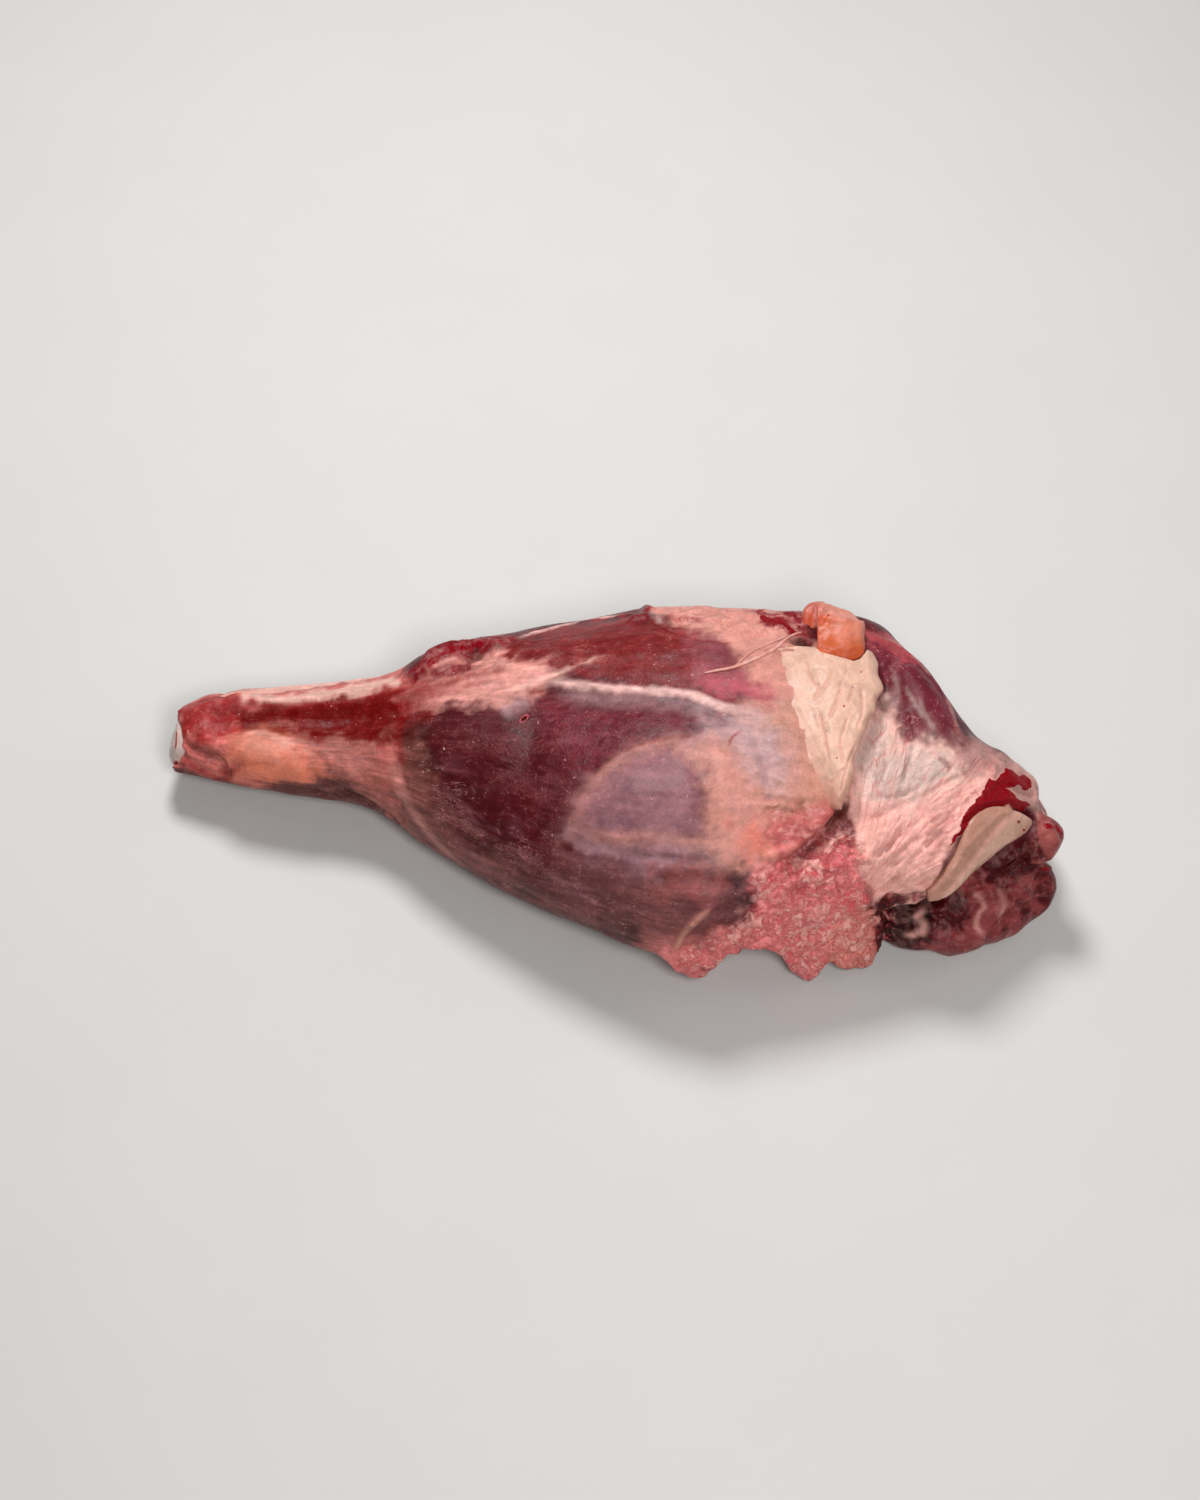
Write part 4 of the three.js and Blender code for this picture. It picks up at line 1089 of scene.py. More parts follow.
def firm_material(colours, name, rough):
    """Fat, gristle or bone: creamy, mottled, faintly grained, greasy."""
    material, tree, shader = new_material(name)
    place = signal(tree, "ShaderNodeTexCoord", "Object")
    mottle = grained(place, 70.0, 5.0, 0.6, 0.8)
    grain = grained(place, 330.0, 3.0, 0.6)
    inputs = {"Vector": place, "Scale": 260.0}
    crumb = signal(tree, "ShaderNodeTexVoronoi", "Distance", inputs, feature="SMOOTH_F1")
    shade = varied(mottle, 0.88, 1.08) * varied(grain, 0.95, 1.04)
    colour = scaled_colour(attribute(tree, "tint", "Color"), shade)
    warm = ranged(grained(place, 120.0, 4.0, 0.6, 1.5), 0.54, 0.70)
    colour = mixed(warm * 0.35, colour, colours.salmon)
    stain = attribute(tree, "stain") + (mottle - 0.5) * 0.7
    colour = mixed(ranged(stain, 0.40, 0.60), colour, colours.raw_red)
    relief = bumped(mottle, 0.0012, 0.4)
    relief = bumped(crumb + grain, 0.0005, 0.35, relief)
    fill(shader, {
        "Base Color": colour,
        "Roughness": varied(mottle, rough - 0.06, rough + 0.10),
        "Normal": relief,
        "Specular IOR Level": 0.3,
        "Subsurface Weight": 0.3,
        "Subsurface Radius": (1.0, 0.5, 0.35),
        "Subsurface Scale": 0.004,
    })
    return material


# ---------------- the flesh

FACET_ROUNDS = 24  # of smoothing, which take the CAD facets away
REFINED_ROUNDS = 6
JOINT_LIP = 14.0  # how much of the shank's end moves to lay the joint bare
JOINT_RAGGED = 2.5
# How far the flesh creeps over the bare joint, by its height on the face.
JOINT_EDGE = [(-26, 10), (-18, 8), (-10, 1), (0, -4), (12, -5), (22, -2), (32, 2), (40, 3)]
SEEN_DEPTH = 5.0  # what lies less far than this behind what the camera sees gets a finer mesh
SEEN_TURN = 0.12  # and what faces the camera at least this much
SHOWN_TURN = (-0.45, 0.35)  # the painted side starts at this turn to the camera and eases in over the second
SHOWN_DEPTH = (14.0, 22.0)  # and fades out behind what the camera sees from here, over the second
FRAY = 0.55  # how much the edges between tissues fray along the fibres
UNDER_CAP = 1.0  # how far the flesh is lowered below the cap of fat
UNDER_CAP_FROM = 186.0  # the x where that starts, and the width that it takes to start
UNDER_CAP_WIDE = 30.0
GIRTH = 105.0  # the half width that every section is brought to for its fibres
GIRTH_STEP = 20.0
FAN_APEX = np.array([232.0, -160.0])  # where the shoulder's fibres and wrinkles spread from
FAN_NEAREST = 12.0
FAN_WIDE = 90.0
FAN_DEEP = 0.25
VEIL_USUAL = 0.35  # how much membrane there is outside the VEILS

# Lumps of the torn tissue: strength, middle, how far they drift about, size, salt.
LUMPS = [(1.0, 0.55, 9, 22, 52), (0.6, 0.5, 7, 11, 54)]
# Fine folds over them: strength, narrowness, how far they drift about, size, salt, octaves.
LUMP_FOLDS = [(0.20, 3.2, 4, 11, 56, 2), (0.12, 3, 3, 6, 58, 1)]
FLESH_SWELLS = [(1.5, 60, 67, 2), (0.6, 20, 71, 3)]

MUSCLE_FIBROUS = 0.7
# How much of the muscle's fibres shows in each tissue; the others show all of it.
FIBROUS = {
    "salmon": 0.22, "coral": 0.22, "cream_pink": 0.25, "peach_cream": 0.15, "peach": 0.2, "pale_fat": 0.35,
    "mauve": 0.55, "lavender_veil": 0.5, "raw_pink": 0.3, "torn_pink": 0.15, "rose": 0.3, "tan_pink": 0.2,
    "bright_red": 0.2, "silver": 0.6, "magenta": 0.5, "crimson": 0.2, "raw_red": 0.3, "brown": 0.6,
    "rib_muscle": 0.4, "rib_pink": 0.3, "rim_pink": 0.4, "knob_pink": 0.3, "bone_skin": 0.5,
    "upper_red": 0.6, "purple": 0.6, "lavender": 0.5, "shoulder": 0.5, "shoulder_pink": 0.3,
    "grey_mauve": 0.55, "brown_red": 0.5, "shadow_red": 0.4, "dark_red": 0.3, "dark_blood_and_shade": 0.4, "cavity_shadow": 0.2,
    "grey_dark": 0.4, "shade": 0.7,
}


def body_middle(points):
    """For each point: the middle and half width of the leg's section at its x, across and up."""
    edges = np.arange(points[:, 0].min(), points[:, 0].max() + GIRTH_STEP, GIRTH_STEP)
    which = np.clip(np.digitize(points[:, 0], edges) - 1, 0, len(edges) - 2)
    rows = []
    for k in range(len(edges) - 1):
        part = points[which == k]
        rows.append([part[:, 1].min(), part[:, 1].max(), part[:, 2].min(), part[:, 2].max()])
    rows = np.array(rows)
    for _ in range(3):
        ends = np.vstack([rows[:1], rows, rows[-1:]])
        rows = (ends[:-2] + 2 * rows + ends[2:]) / 4
    middles = (edges[:-1] + edges[1:]) / 2
    low_y, high_y, low_z, high_z = (np.interp(points[:, 0], middles, rows[:, k]) for k in range(4))
    return (low_y + high_y) / 2, (high_y - low_y) / 2, (low_z + high_z) / 2, (high_z - low_z) / 2


def fibre_coordinates(points, places):
    """Coordinates along and across the fibres: along the limb, and fanned out over the shoulder."""
    mid_y, half_y, mid_z, half_z = body_middle(points)
    across = GIRTH * (points[:, 1] - mid_y) / np.maximum(half_y, GIRTH_STEP)
    up = GIRTH * (points[:, 2] - mid_z) / np.maximum(half_z, GIRTH_STEP)
    grain = np.column_stack([points[:, 0], across, up]) * MM
    out = places - FAN_APEX
    radius = np.maximum(np.linalg.norm(out, axis=1), FAN_NEAREST)
    turn = np.arctan2(out[:, 1], out[:, 0])
    fan = np.column_stack([radius, turn * FAN_WIDE, points[:, 2] * FAN_DEEP]) * MM
    return grain, fan


def how_far_behind(tree, points):
    """How far each point lies behind what the camera sees in front of it."""
    eye = Vector(EYE)
    behind = np.zeros(len(points))
    for index, point in enumerate(points.tolist()):
        ray = Vector(point) - eye
        distance = ray.length
        hit = tree.ray_cast(eye, ray / distance)[3]
        if hit is not None:
            behind[index] = distance - hit
    return behind


def hidden_sides(points, grain, colours):
    """The tissues of the sides that the camera doesn't see: muscle under membrane, with seams of fat."""
    strands = drawn_out(grain / MM, 0.22)
    streaks = eased((unevenness(strands, 26, 23, 4) - 0.12) * 3)
    seams = eased(ridged(unevenness(drawn_out(strands, 0.8), 95, 29, 2), 7))
    fatty = eased((unevenness(points, 85, 31, 4) - 0.22) * 4)
    shank = eased((-190 - points[:, 0]) / 60)
    film = shank * eased((unevenness(points, 60, 37, 3) + 0.05) * 4)
    return laid(colours.muscle, len(points), [
        (eased(0.5 + 1.6 * unevenness(points, 120, 21, 3)), colours.purple),
        (0.8 * streaks, colours.veil_pink),
        (0.75 * seams, colours.band_cream),
        (0.85 * fatty, colours.cream_pink),
        (0.75 * shank, colours.fascia_pink),
        (0.8 * film, colours.crimson),
    ])


def refined(mesh, chosen):
    """Halves each way the faces of a mesh whose corners are all chosen."""
    shape = bmesh.new()
    shape.from_mesh(mesh)
    faces = [face for face in shape.faces if all(chosen[vert.index] for vert in face.verts)]
    edges = list(dict.fromkeys(edge for face in faces for edge in face.edges))
    bmesh.ops.subdivide_edges(shape, edges=edges, cuts=1, use_grid_fill=True)
    shape.to_mesh(mesh)
    shape.free()


def cap_outline():
    """The outline of the cap of fat on the face."""
    left = [(x, h) for h, x, _ in FAT_CAP]
    right = [(x, h) for h, _, x in FAT_CAP]
    return left + right[::-1]


class FleshWork:
    """The flesh's mesh with what its shaping and its painting both need to know of each point."""

    def __init__(self, mesh):
        self.mesh = mesh
        self.survey(FACET_ROUNDS)
        refined(mesh, (self.behind < SEEN_DEPTH) & (self.facing > SEEN_TURN))
        self.survey(REFINED_ROUNDS)
        self.torn = self.covered(TORN, 12) * np.maximum(self.shown, eased(1 - (self.behind - 40) / 20))
        self.wrinkled = self.covered(WRINKLED, 10) * self.shown
        self.grain, self.fan = fibre_coordinates(self.points, self.places)

    def survey(self, rounds):
        """Evens the mesh out and looks where each point lies and what the camera sees of it."""
        self.joined = Neighbours(self.mesh)
        self.points = self.joined.smooth(read_points(self.mesh), rounds)
        write_points(self.mesh, self.points)
        self.normals = self.joined.directions(self.mesh, 4)
        self.behind = how_far_behind(surface_tree(self.mesh), self.points)
        self.facing = -self.normals @ FORWARD
        turned = eased((self.facing - SHOWN_TURN[0]) / SHOWN_TURN[1])
        self.shown = turned * eased(1 - (self.behind - SHOWN_DEPTH[0]) / SHOWN_DEPTH[1])
        self.places = to_face(self.points)
        self.wander = columns_of(self.points, 24, (41, 43), 4)

    def covered(self, outlines, wandering):
        """How much of each point some outlines cover, with wandering edges."""
        cover = np.zeros(len(self.points))
        for softness, amount, corners in outlines:
            inside = within(self.places + wandering * self.wander, corners, softness)
            cover = np.maximum(cover, amount * inside)
        return cover

    def torn_lumps(self):
        """How far the lumps and folds of torn tissue stand out, for a height of 1."""
        drift = columns_of(self.points, 13, (51, 53, 55), 2)
        lump = np.zeros(len(self.points))
        for strength, middle, far, size, salt in LUMPS:
            lump += strength * (middle - clods(self.points + far * drift, size, salt))
        for strength, narrowness, far, size, salt, octaves in LUMP_FOLDS:
            lump += strength * ridged(unevenness(self.points + far * drift, size, salt, octaves), narrowness)
        return lump

    def sculpt(self, sizes):
        """Raises muscles, folds, wrinkles and torn lumps, and lays the joint bare."""
        tree = surface_tree(self.mesh)
        lift = np.zeros(len(self.points))
        for _, height, reach, marks in RELIEF:
            lift += height * nearness(self.points, anchor(tree, smooth_line(marks)), reach) * self.shown
        lift += sizes.clod_height / MM * self.torn * self.torn_lumps()
        pleats = drawn_out(self.fan / MM, 0.16) + 5 * self.wander[:, :1]
        ridges = ridged(unevenness(pleats, 13, 57, 3), 3)
        lift += sizes.wrinkle_height / MM * self.wrinkled * (ridges - 0.4)
        lift += 0.45 * unevenness(drawn_out(self.grain / MM, 0.2), 15, 61, 3) * (1 - self.torn)
        lift += layered(self.points, FLESH_SWELLS)
        from_cap = (self.places[:, 0] - UNDER_CAP_FROM) / UNDER_CAP_WIDE
        lift += within(self.places, cap_outline(), 8) * eased(from_cap) * (-UNDER_CAP - lift)
        at_rim = eased(1 - (self.facing - 0.1) / 0.25)
        lift += at_rim * (self.joined.relax(lift[:, None], 3)[:, 0] - lift)
        self.lift = lift

        end = eased(1 - (self.points[:, 0] - self.points[:, 0].min()) / JOINT_LIP)
        heights, creeps = np.array(JOINT_EDGE, float).T
        creep = np.interp(self.places[:, 1], heights, creeps)
        creep += JOINT_RAGGED * unevenness(self.points, 10, 87, 2)
        points = self.points + lift[:, None] * self.normals - np.outer(creep * end, RIGHT)
        points = points + 0.25 * (self.joined.mean(points) - points)
        points[:, 2] = np.maximum(points[:, 2], 0.0)
        write_points(self.mesh, points)

    def paint_patches(self, tint, surface, blots, fanned, colours):
        """Lays the tissues of the shown side over the tint, and finds how fibrous each point is."""
        fibrous = np.full(len(surface), MUSCLE_FIBROUS)
        along = unevenness(drawn_out(self.grain / MM, 0.3), 12, 111, 3)
        spread = unevenness(drawn_out(self.fan / MM, 0.3), 12, 113, 3)
        fray = along + fanned * (spread - along)
        crumbs = 0.7 * unevenness(surface, 14, 115, 3)
        for _, name, softness, wandering, cover, corners in PATCHES:
            inside = within(self.places + wandering * (1.3 * self.wander + blots), corners, softness)
            kind = FIBROUS.get(name, 1.0)
            frayed = FRAY * (kind * fray + (1 - kind) * crumbs) * 4 * inside * (1 - inside)
            weight = cover * self.shown * np.clip(inside + frayed, 0, 1)
            tint = blended(tint, weight, getattr(colours, name))
            fibrous += weight * (kind - fibrous)
        return tint, fibrous

    def paint_streaks(self, tint, surface, fine, tree, colours):
        """Lays the thin marks over the tint, and finds where they lie."""
        marked = np.zeros(len(surface))
        for _, name, reach, cover, marks in STREAKS:
            line = anchor(tree, smooth_line(marks))
            weight = nearness(surface + 0.35 * min(reach, 6) * fine, line, reach * 1.25, 0.2)
            weight = np.minimum(cover * weight * np.clip(0.95 + 0.3 * fine[:, 0], 0, 1.1), 1)
            tint = blended(tint, weight * self.shown, getattr(colours, name))
            marked = np.maximum(marked, weight)
        return tint, marked

    def blood(self, surface, fine, blots, tree):
        """How much blood lies on each point."""
        bloody = np.zeros(len(surface))
        for _, reach, cover, marks in BLOOD:
            line = anchor(tree, smooth_line(marks))
            bloody = np.maximum(bloody, cover * nearness(surface + 2.0 * fine, line, reach * 1.5))
        for softness, cover, corners in POOLS:
            bloody = np.maximum(bloody, cover * within(self.places + 3 * blots, corners, softness))
        return bloody * self.shown

    def paint(self, colours):
        """Lays the tissues' colours, membranes and blood on the flesh."""
        surface = read_points(self.mesh)
        tree = surface_tree(self.mesh)
        fine = columns_of(surface, 9, (73, 75, 77), 2)
        blots = 0.8 * (fine[:, :2] + self.wander)
        fanned = eased((self.places[:, 0] - 226) / 26) * self.shown
        tint = blended(hidden_sides(self.points, self.grain, colours), self.shown, colours.muscle)
        tint, fibrous = self.paint_patches(tint, surface, blots, fanned, colours)
        tint, marked = self.paint_streaks(tint, surface, fine, tree, colours)
        veil = np.full(len(surface), VEIL_USUAL)
        for softness, amount, corners in VEILS:
            veil += within(self.places + 14 * self.wander, corners, softness) * self.shown * (amount - veil)
        veil *= 1 - 0.8 * marked
        tint *= (1 + 0.10 * unevenness(surface, 34, 79, 3))[:, None]
        # Painted shade: points that the relief pushes in are darkened towards near black, less so in torn
        # tissue
        hollow = eased((-self.lift - 1.0) / 9) * (1 - 0.8 * self.torn)
        tint = blended(tint, 0.45 * hollow, colours.dark_blood_and_shade)
        masks = np.column_stack([veil, self.torn, self.blood(surface, fine, blots, tree)])
        store(self.mesh, "tint", "FLOAT_COLOR", np.clip(tint, 0.001, 1))
        store(self.mesh, "tissue", "FLOAT_COLOR", masks)
        store(self.mesh, "grain", "FLOAT_VECTOR", self.grain)
        store(self.mesh, "fan", "FLOAT_VECTOR", self.fan)
        store(self.mesh, "fanned", "FLOAT", fanned)
        store(self.mesh, "pleated", "FLOAT", self.wrinkled * (1 - self.torn))
        store(self.mesh, "fibrous", "FLOAT", fibrous * (1 - 0.85 * self.torn))


class RAWLEG_OT_flesh(bpy.types.Operator):
    """Builds the flesh: limb, shoulder, torn hem and rib flesh"""

    bl_idname = "rawleg.flesh"
    bl_label = "Flesh"

    def execute(self, context):
        sizes, colours = context.scene.leg_sizes, context.scene.leg_colours
        mesh = even_mesh(cad_shape("flesh"), sizes.flesh_step / MM)
        work = FleshWork(mesh)
        work.sculpt(sizes)
        work.paint(colours)
        finish_piece("leg_flesh", mesh, flesh_material(colours), "flesh", "flesh")
        return {"FINISHED"}


def flesh_tree():
    """A search tree over the finished flesh, in millimetres."""
    return surface_tree(bpy.data.objects["leg_flesh"].data, MM)


# ---------------- the cap of fat

FAT_CAP_COLUMNS = 96
FAT_CAP_ROWS = 124
# Waves of its edges: height, length of a wave for a turn of 1, shift.
FAT_CAP_LEFT_WAVES = [(1.6, 9.5, 0.0), (0.8, 4.3, 0.0)]
FAT_CAP_RIGHT_WAVES = [(1.5, 8.7, 0.5), (1.0, 5.1, 1.0), (0.7, 3.3, 2.0)]


def cap_places():
    """The cap's places on the face, row by row from the top, and how far each is across, 0 to 1."""
    rows = np.array(FAT_CAP, float)[::-1]
    heights = np.linspace(rows[-1, 0], rows[0, 0], FAT_CAP_ROWS)
    edges = []
    for column, waves in ((1, FAT_CAP_LEFT_WAVES), (2, FAT_CAP_RIGHT_WAVES)):
        edge = np.interp(heights, rows[:, 0], rows[:, column])
        for _ in range(3):
            edge[1:-1] = (edge[:-2] + 2 * edge[1:-1] + edge[2:]) / 4
        edges.append(edge + sum(high * np.sin(heights / length + shift) for high, length, shift in waves))
    left, right = edges
    across = np.linspace(0, 1, FAT_CAP_COLUMNS)
    x = left[:, None] + across[None, :] * (right - left)[:, None]
    top = np.array(FAT_CAP_TOP, float)
    drop = np.interp(x, top[:, 0], top[:, 1]) - heights.max()
    near_top = eased((heights - FAT_CAP_TOP_FROM) / (heights.max() - FAT_CAP_TOP_FROM))
    return np.dstack([x, heights[:, None] + drop * near_top[:, None]]), across


def filled_in(distance):
    """A grid of distances with its gaps filled along its rows, and then along its columns."""
    for row in distance:
        known = np.flatnonzero(~np.isnan(row))
        if len(known):
            row[:] = np.interp(np.arange(len(row)), known, row[known])
    known = np.flatnonzero(~np.isnan(distance[:, 0]))
    for column in distance.T:
        column[:] = np.interp(np.arange(len(column)), known, column[known])
    return distance


def grid_mean(values, rounds):
    """Evens out values on a grid."""
    for _ in range(rounds):
        padded = np.pad(values, 1, mode="edge")
        values = (padded[:-2, 1:-1] + padded[2:, 1:-1] + padded[1:-1, :-2] + padded[1:-1, 2:]) / 4
    return values


def sheet(outer, inner, columns, rows):
    """A closed sheet between two grids of points, and the grid's place of each of its points."""
    shape = bmesh.new()
    bmesh.ops.create_grid(shape, x_segments=columns - 1, y_segments=rows - 1, size=0.5)
    index = [
        round((vert.co.y + 0.5) * (rows - 1)) * columns + round((vert.co.x + 0.5) * (columns - 1))
        for vert in shape.verts
    ]
    rim = [edge for edge in shape.edges if edge.is_boundary]
    front = list(shape.verts)
    copied = bmesh.ops.duplicate(shape, geom=shape.faces[:] + shape.edges[:] + front)
    for vert, k in zip(front, index):
        vert.co = outer[k]
        copied["vert_map"][vert].co = inner[k]
    backs = [item for item in copied["geom"] if isinstance(item, bmesh.types.BMFace)]
    rim += [item for item in copied["geom"] if isinstance(item, bmesh.types.BMEdge) and item.is_boundary]
    bmesh.ops.reverse_faces(shape, faces=backs)
    bmesh.ops.bridge_loops(shape, edges=rim)
    bmesh.ops.recalc_face_normals(shape, faces=shape.faces)
    return mesh_from(shape, "sheet"), np.array(index * 2)


class CapWork:
    """A draped sheet of fat whose left edge melts into the flesh and whose right edge is thick and free."""

    def __init__(self):
        self.places, self.across = cap_places()
        self.flat = self.places.reshape(-1, 2)
        self.rays = np.array([ray_to(x, h) for x, h in self.flat])
        width = np.repeat(self.places[:, -1, 0] - self.places[:, 0, 0], FAT_CAP_COLUMNS)
        share = np.tile(self.across, FAT_CAP_ROWS)
        self.from_right = (1 - share) * width
        self.from_left = share * width
        heights = self.flat[:, 1]
        self.from_top = heights.max() - heights + 40 * (1 - eased(self.from_left / 40))
        self.from_tip = heights - heights.min()
        spread = as_points(self.flat)
        spread_wander = spread + 0.8 * unevenness(spread, 9, 85)[:, None]
        self.creases = [
            (deep, nearness(spread_wander, as_points(smooth_line(marks, 3.0)), reach))
            for deep, reach, marks in FAT_CREASES
        ]

    def distance(self):
        """How far from the eye the cap lies: on the CAD node, and towards its left edge on the flesh."""
        shape = cad_shape("fat_cap")
        tree = BVHTree.FromBMesh(shape)
        shape.free()
        grid = self.places.shape[:2]
        distance = grid_mean(filled_in(first_hits(tree, self.rays).reshape(grid)), 24)
        under = first_hits(flesh_tree(), self.rays).reshape(grid)
        under = grid_mean(np.where(np.isnan(under), distance, under), 6)
        free = eased(self.across / FAT_CAP_FEATHER)[None, :]
        return (under + free * (distance - under)).reshape(-1, 1)

    def relief(self, outer, thick):
        """How far the cap stands out: rounded rim, melting edge, folds and creases."""
        rim = np.minimum(np.minimum(self.from_right, self.from_top * 1.2), self.from_tip * 1.4)
        rounding = np.sqrt(np.clip(1 - (1 - np.clip(rim / FAT_CAP_RIM, 0, 1)) ** 2, 0, 1))
        lift = -thick * 0.75 * (1 - rounding)
        lift -= FAT_CAP_SUNK * (1 - eased(self.from_left / FAT_CAP_MELT))
        lift += 1.6 * eased(1 - np.abs(self.from_right - FAT_CAP_RIM) / FAT_CAP_RIM)
        x, h = self.flat.T
        folds = as_points(np.column_stack([x + 0.55 * h, 0.28 * h]))
        body = eased(self.from_left / 30)
        lift += body * (0.5 * ridged(unevenness(folds, 21, 81, 3), 2.6) - 0.2)
        lift += body * unevenness(outer, 18, 83, 3)
        for deep, weight in self.creases:
            lift -= deep * weight
        return lift[:, None]

    def mesh(self, thick):
        """The cap's mesh, and the grid's place of each of its points."""
        distance = self.distance()
        outer = EYE + self.rays * distance
        outer = outer - FORWARD * self.relief(outer, thick)
        inner = EYE + self.rays * (distance + thick + FAT_CAP_DEEP)
        inner = inner - np.outer(4.0 * eased(1 - self.from_right / 14), RIGHT)
        return sheet(outer, inner, FAT_CAP_COLUMNS, FAT_CAP_ROWS)

    def tint(self, colours):
        """The colour of each place of the grid."""
        crease = np.max([weight for _, weight in self.creases], axis=0)
        return laid(colours.fat, len(self.flat), [
            (0.8 * eased(1 - self.from_left / 26), colours.peach_cream),
            (0.45 * crease, colours.salmon),
            (0.5 * eased(1 - self.from_tip / 34), colours.cream_pink),
            (0.35 * eased(1 - self.from_right / 5), colours.salmon),
        ])


class RAWLEG_OT_fat_cap(bpy.types.Operator):
    """Builds the cap of fat that lies over the limb"""

    bl_idname = "rawleg.fat_cap"
    bl_label = "Cap of fat"

    def execute(self, context):
        sizes, colours = context.scene.leg_sizes, context.scene.leg_colours
        work = CapWork()
        mesh, index = work.mesh(sizes.fat_thickness / MM)
        stain = dots(work.flat, 0.75, FAT_DOTS)
        material = firm_material(colours, "cap_fat", 0.40)
        finish_firm("leg_fat_cap", mesh, work.tint(colours)[index], stain[index], material, "fat", "fat_cap")
        return {"FINISHED"}


# ---------------- block of fat, gristle and bone


def softened(node_name, step, rounds):
    """An even, smooth mesh over a small CAD node, its points and its outward directions."""
    mesh = even_mesh(cad_shape(node_name), step)
    joined = Neighbours(mesh)
    points = joined.smooth(read_points(mesh), rounds)
    write_points(mesh, points)
    return mesh, points, joined.directions(mesh, 3)


BLOCK_ROUNDS = 26
BLOCK_TOP = 148.0  # height on the face that stays where it is
BLOCK_EDGE = 131.0  # height of the edge between its front and its top
BLOCK_EDGE_SLOPE = 0.12
BLOCK_FROM = 200.0  # the fold lies left of here
BLOCK_STRETCH = 1.42
BLOCK_CORNER = 213.0  # its top slopes down from here to its far end
BLOCK_SLOPE = 0.42
BLOCK_WIDENED = 6.0  # how far its left side moves out
BLOCK_LEAN = 0.35
FOLD_STRETCH = 1.45
FOLD_MIDDLE = 194.0
FOLD_WIDENED = 0.3
FOLD_MOVED = 7.5
FOLD_LOWERED = 4.5
# Lines on the block and its fold: height, reach, marks.
BLOCK_RIDGE = (2.2, 7, [(213, 132), (230, 130), (250, 127)])
BLOCK_GROOVES = [
    (3.0, 5, [(213, 138), (206, 130), (201, 120), (199, 106)]),
    (2.0, 5, [(196, 140), (193, 132), (192, 124)]),
]
BLOCK_FOLD = [(180, 160), (199, 160), (207, 142), (204, 100), (180, 100)]
BLOCK_HOLE = [(213, 135, 2.8)]
BLOCK_DOTS = [(217, 109, 2.6), (221, 104, 2.6), (206, 121, 2.6)]


class RAWLEG_OT_fat_block(bpy.types.Operator):
    """Builds the block of fat on the top edge and the fold beside it"""

    bl_idname = "rawleg.fat_block"
    bl_label = "Block of fat"

    def execute(self, context):
        sizes, colours = context.scene.leg_sizes, context.scene.leg_colours
        mesh, points, normals = softened("fat_block", sizes.lump_step / MM, BLOCK_ROUNDS)
        x, h = to_face(points).T
        block = eased((x - BLOCK_FROM) / 8)
        lower = (BLOCK_TOP - h) * (FOLD_STRETCH - 1 + (BLOCK_STRETCH - FOLD_STRETCH) * block)
        points = points - lower[:, None] * (UP + BLOCK_LEAN * FORWARD)
        x, h = to_face(points).T
        slope = BLOCK_SLOPE * np.maximum(x - BLOCK_CORNER, 0) * eased((h - 126) / 20)
        aside = (1 - block) * (FOLD_WIDENED * (x - FOLD_MIDDLE) + FOLD_MOVED)
        aside -= BLOCK_WIDENED * block * eased((232 - x) / 26)
        points = points + np.outer(aside, RIGHT) - np.outer(slope + (1 - block) * FOLD_LOWERED, UP)
        lift = 1.5 * unevenness(points, 22, 91, 3) + 0.3 * block * unevenness(points, 7, 93, 2)
        write_points(mesh, points)
        tree = surface_tree(mesh)
        height, reach, marks = BLOCK_RIDGE
        lift += height * block * nearness(points, anchor(tree, marks), reach)
        for depth, reach, marks in BLOCK_GROOVES:
            lift -= depth * nearness(points, anchor(tree, marks), reach)
        points = points + lift[:, None] * normals
        write_points(mesh, points)

        places = to_face(points)
        x, h = places.T
        wander = 3 * columns_of(points, 15, (95, 97), 2)
        edge = BLOCK_EDGE - BLOCK_EDGE_SLOPE * (x - BLOCK_CORNER)
        tint = laid(colours.fat_block, len(points), [
            (0.5 * eased((x - 216) / 26) * eased((h - 100) / 20), colours.salmon),
            # Painted light: the block's top face lighter peach than its front, as light falls from above
            (0.8 * eased((h + 0.6 * wander[:, 0] - edge) / 6), colours.peach_cream),
            (0.8 * within(places + wander, BLOCK_FOLD, 8), colours.fold_fat),
            (0.35 * eased(unevenness(points, 16, 99, 3) * 2), colours.salmon),
        ])
        stain = np.maximum(dots(places, 0.8, BLOCK_HOLE), dots(places, 0.55, BLOCK_DOTS))
        material = firm_material(colours, "block_fat", 0.38)
        finish_firm("leg_fat_block", mesh, tint, stain, material, "fat", "fat_block")
        return {"FINISHED"}


GRISTLE_ROUNDS = 10
GRISTLE_MIDDLE = (366.0, -92.0)
GRISTLE_STRETCH = 0.06
GRISTLE_MOVED = 2.5
GRISTLE_ASIDE = np.array([0.59, -0.81])  # across its length, on the face
GRISTLE_WIDENED = 0.18
GRISTLE_STEP = [(396, -60), (378, -76), (356, -98), (340, -114)]
GRISTLE_GROOVE = [(391, -66), (373, -82), (352, -103)]
GRISTLE_EDGE = [(410, -56), (392, -70), (376, -88), (358, -112), (330, -146)]
GRISTLE_DOTS = [(404, -72, 4), (409, -80, 3), (398, -59, 3), (352, -74, 4), (340, -92, 3)]


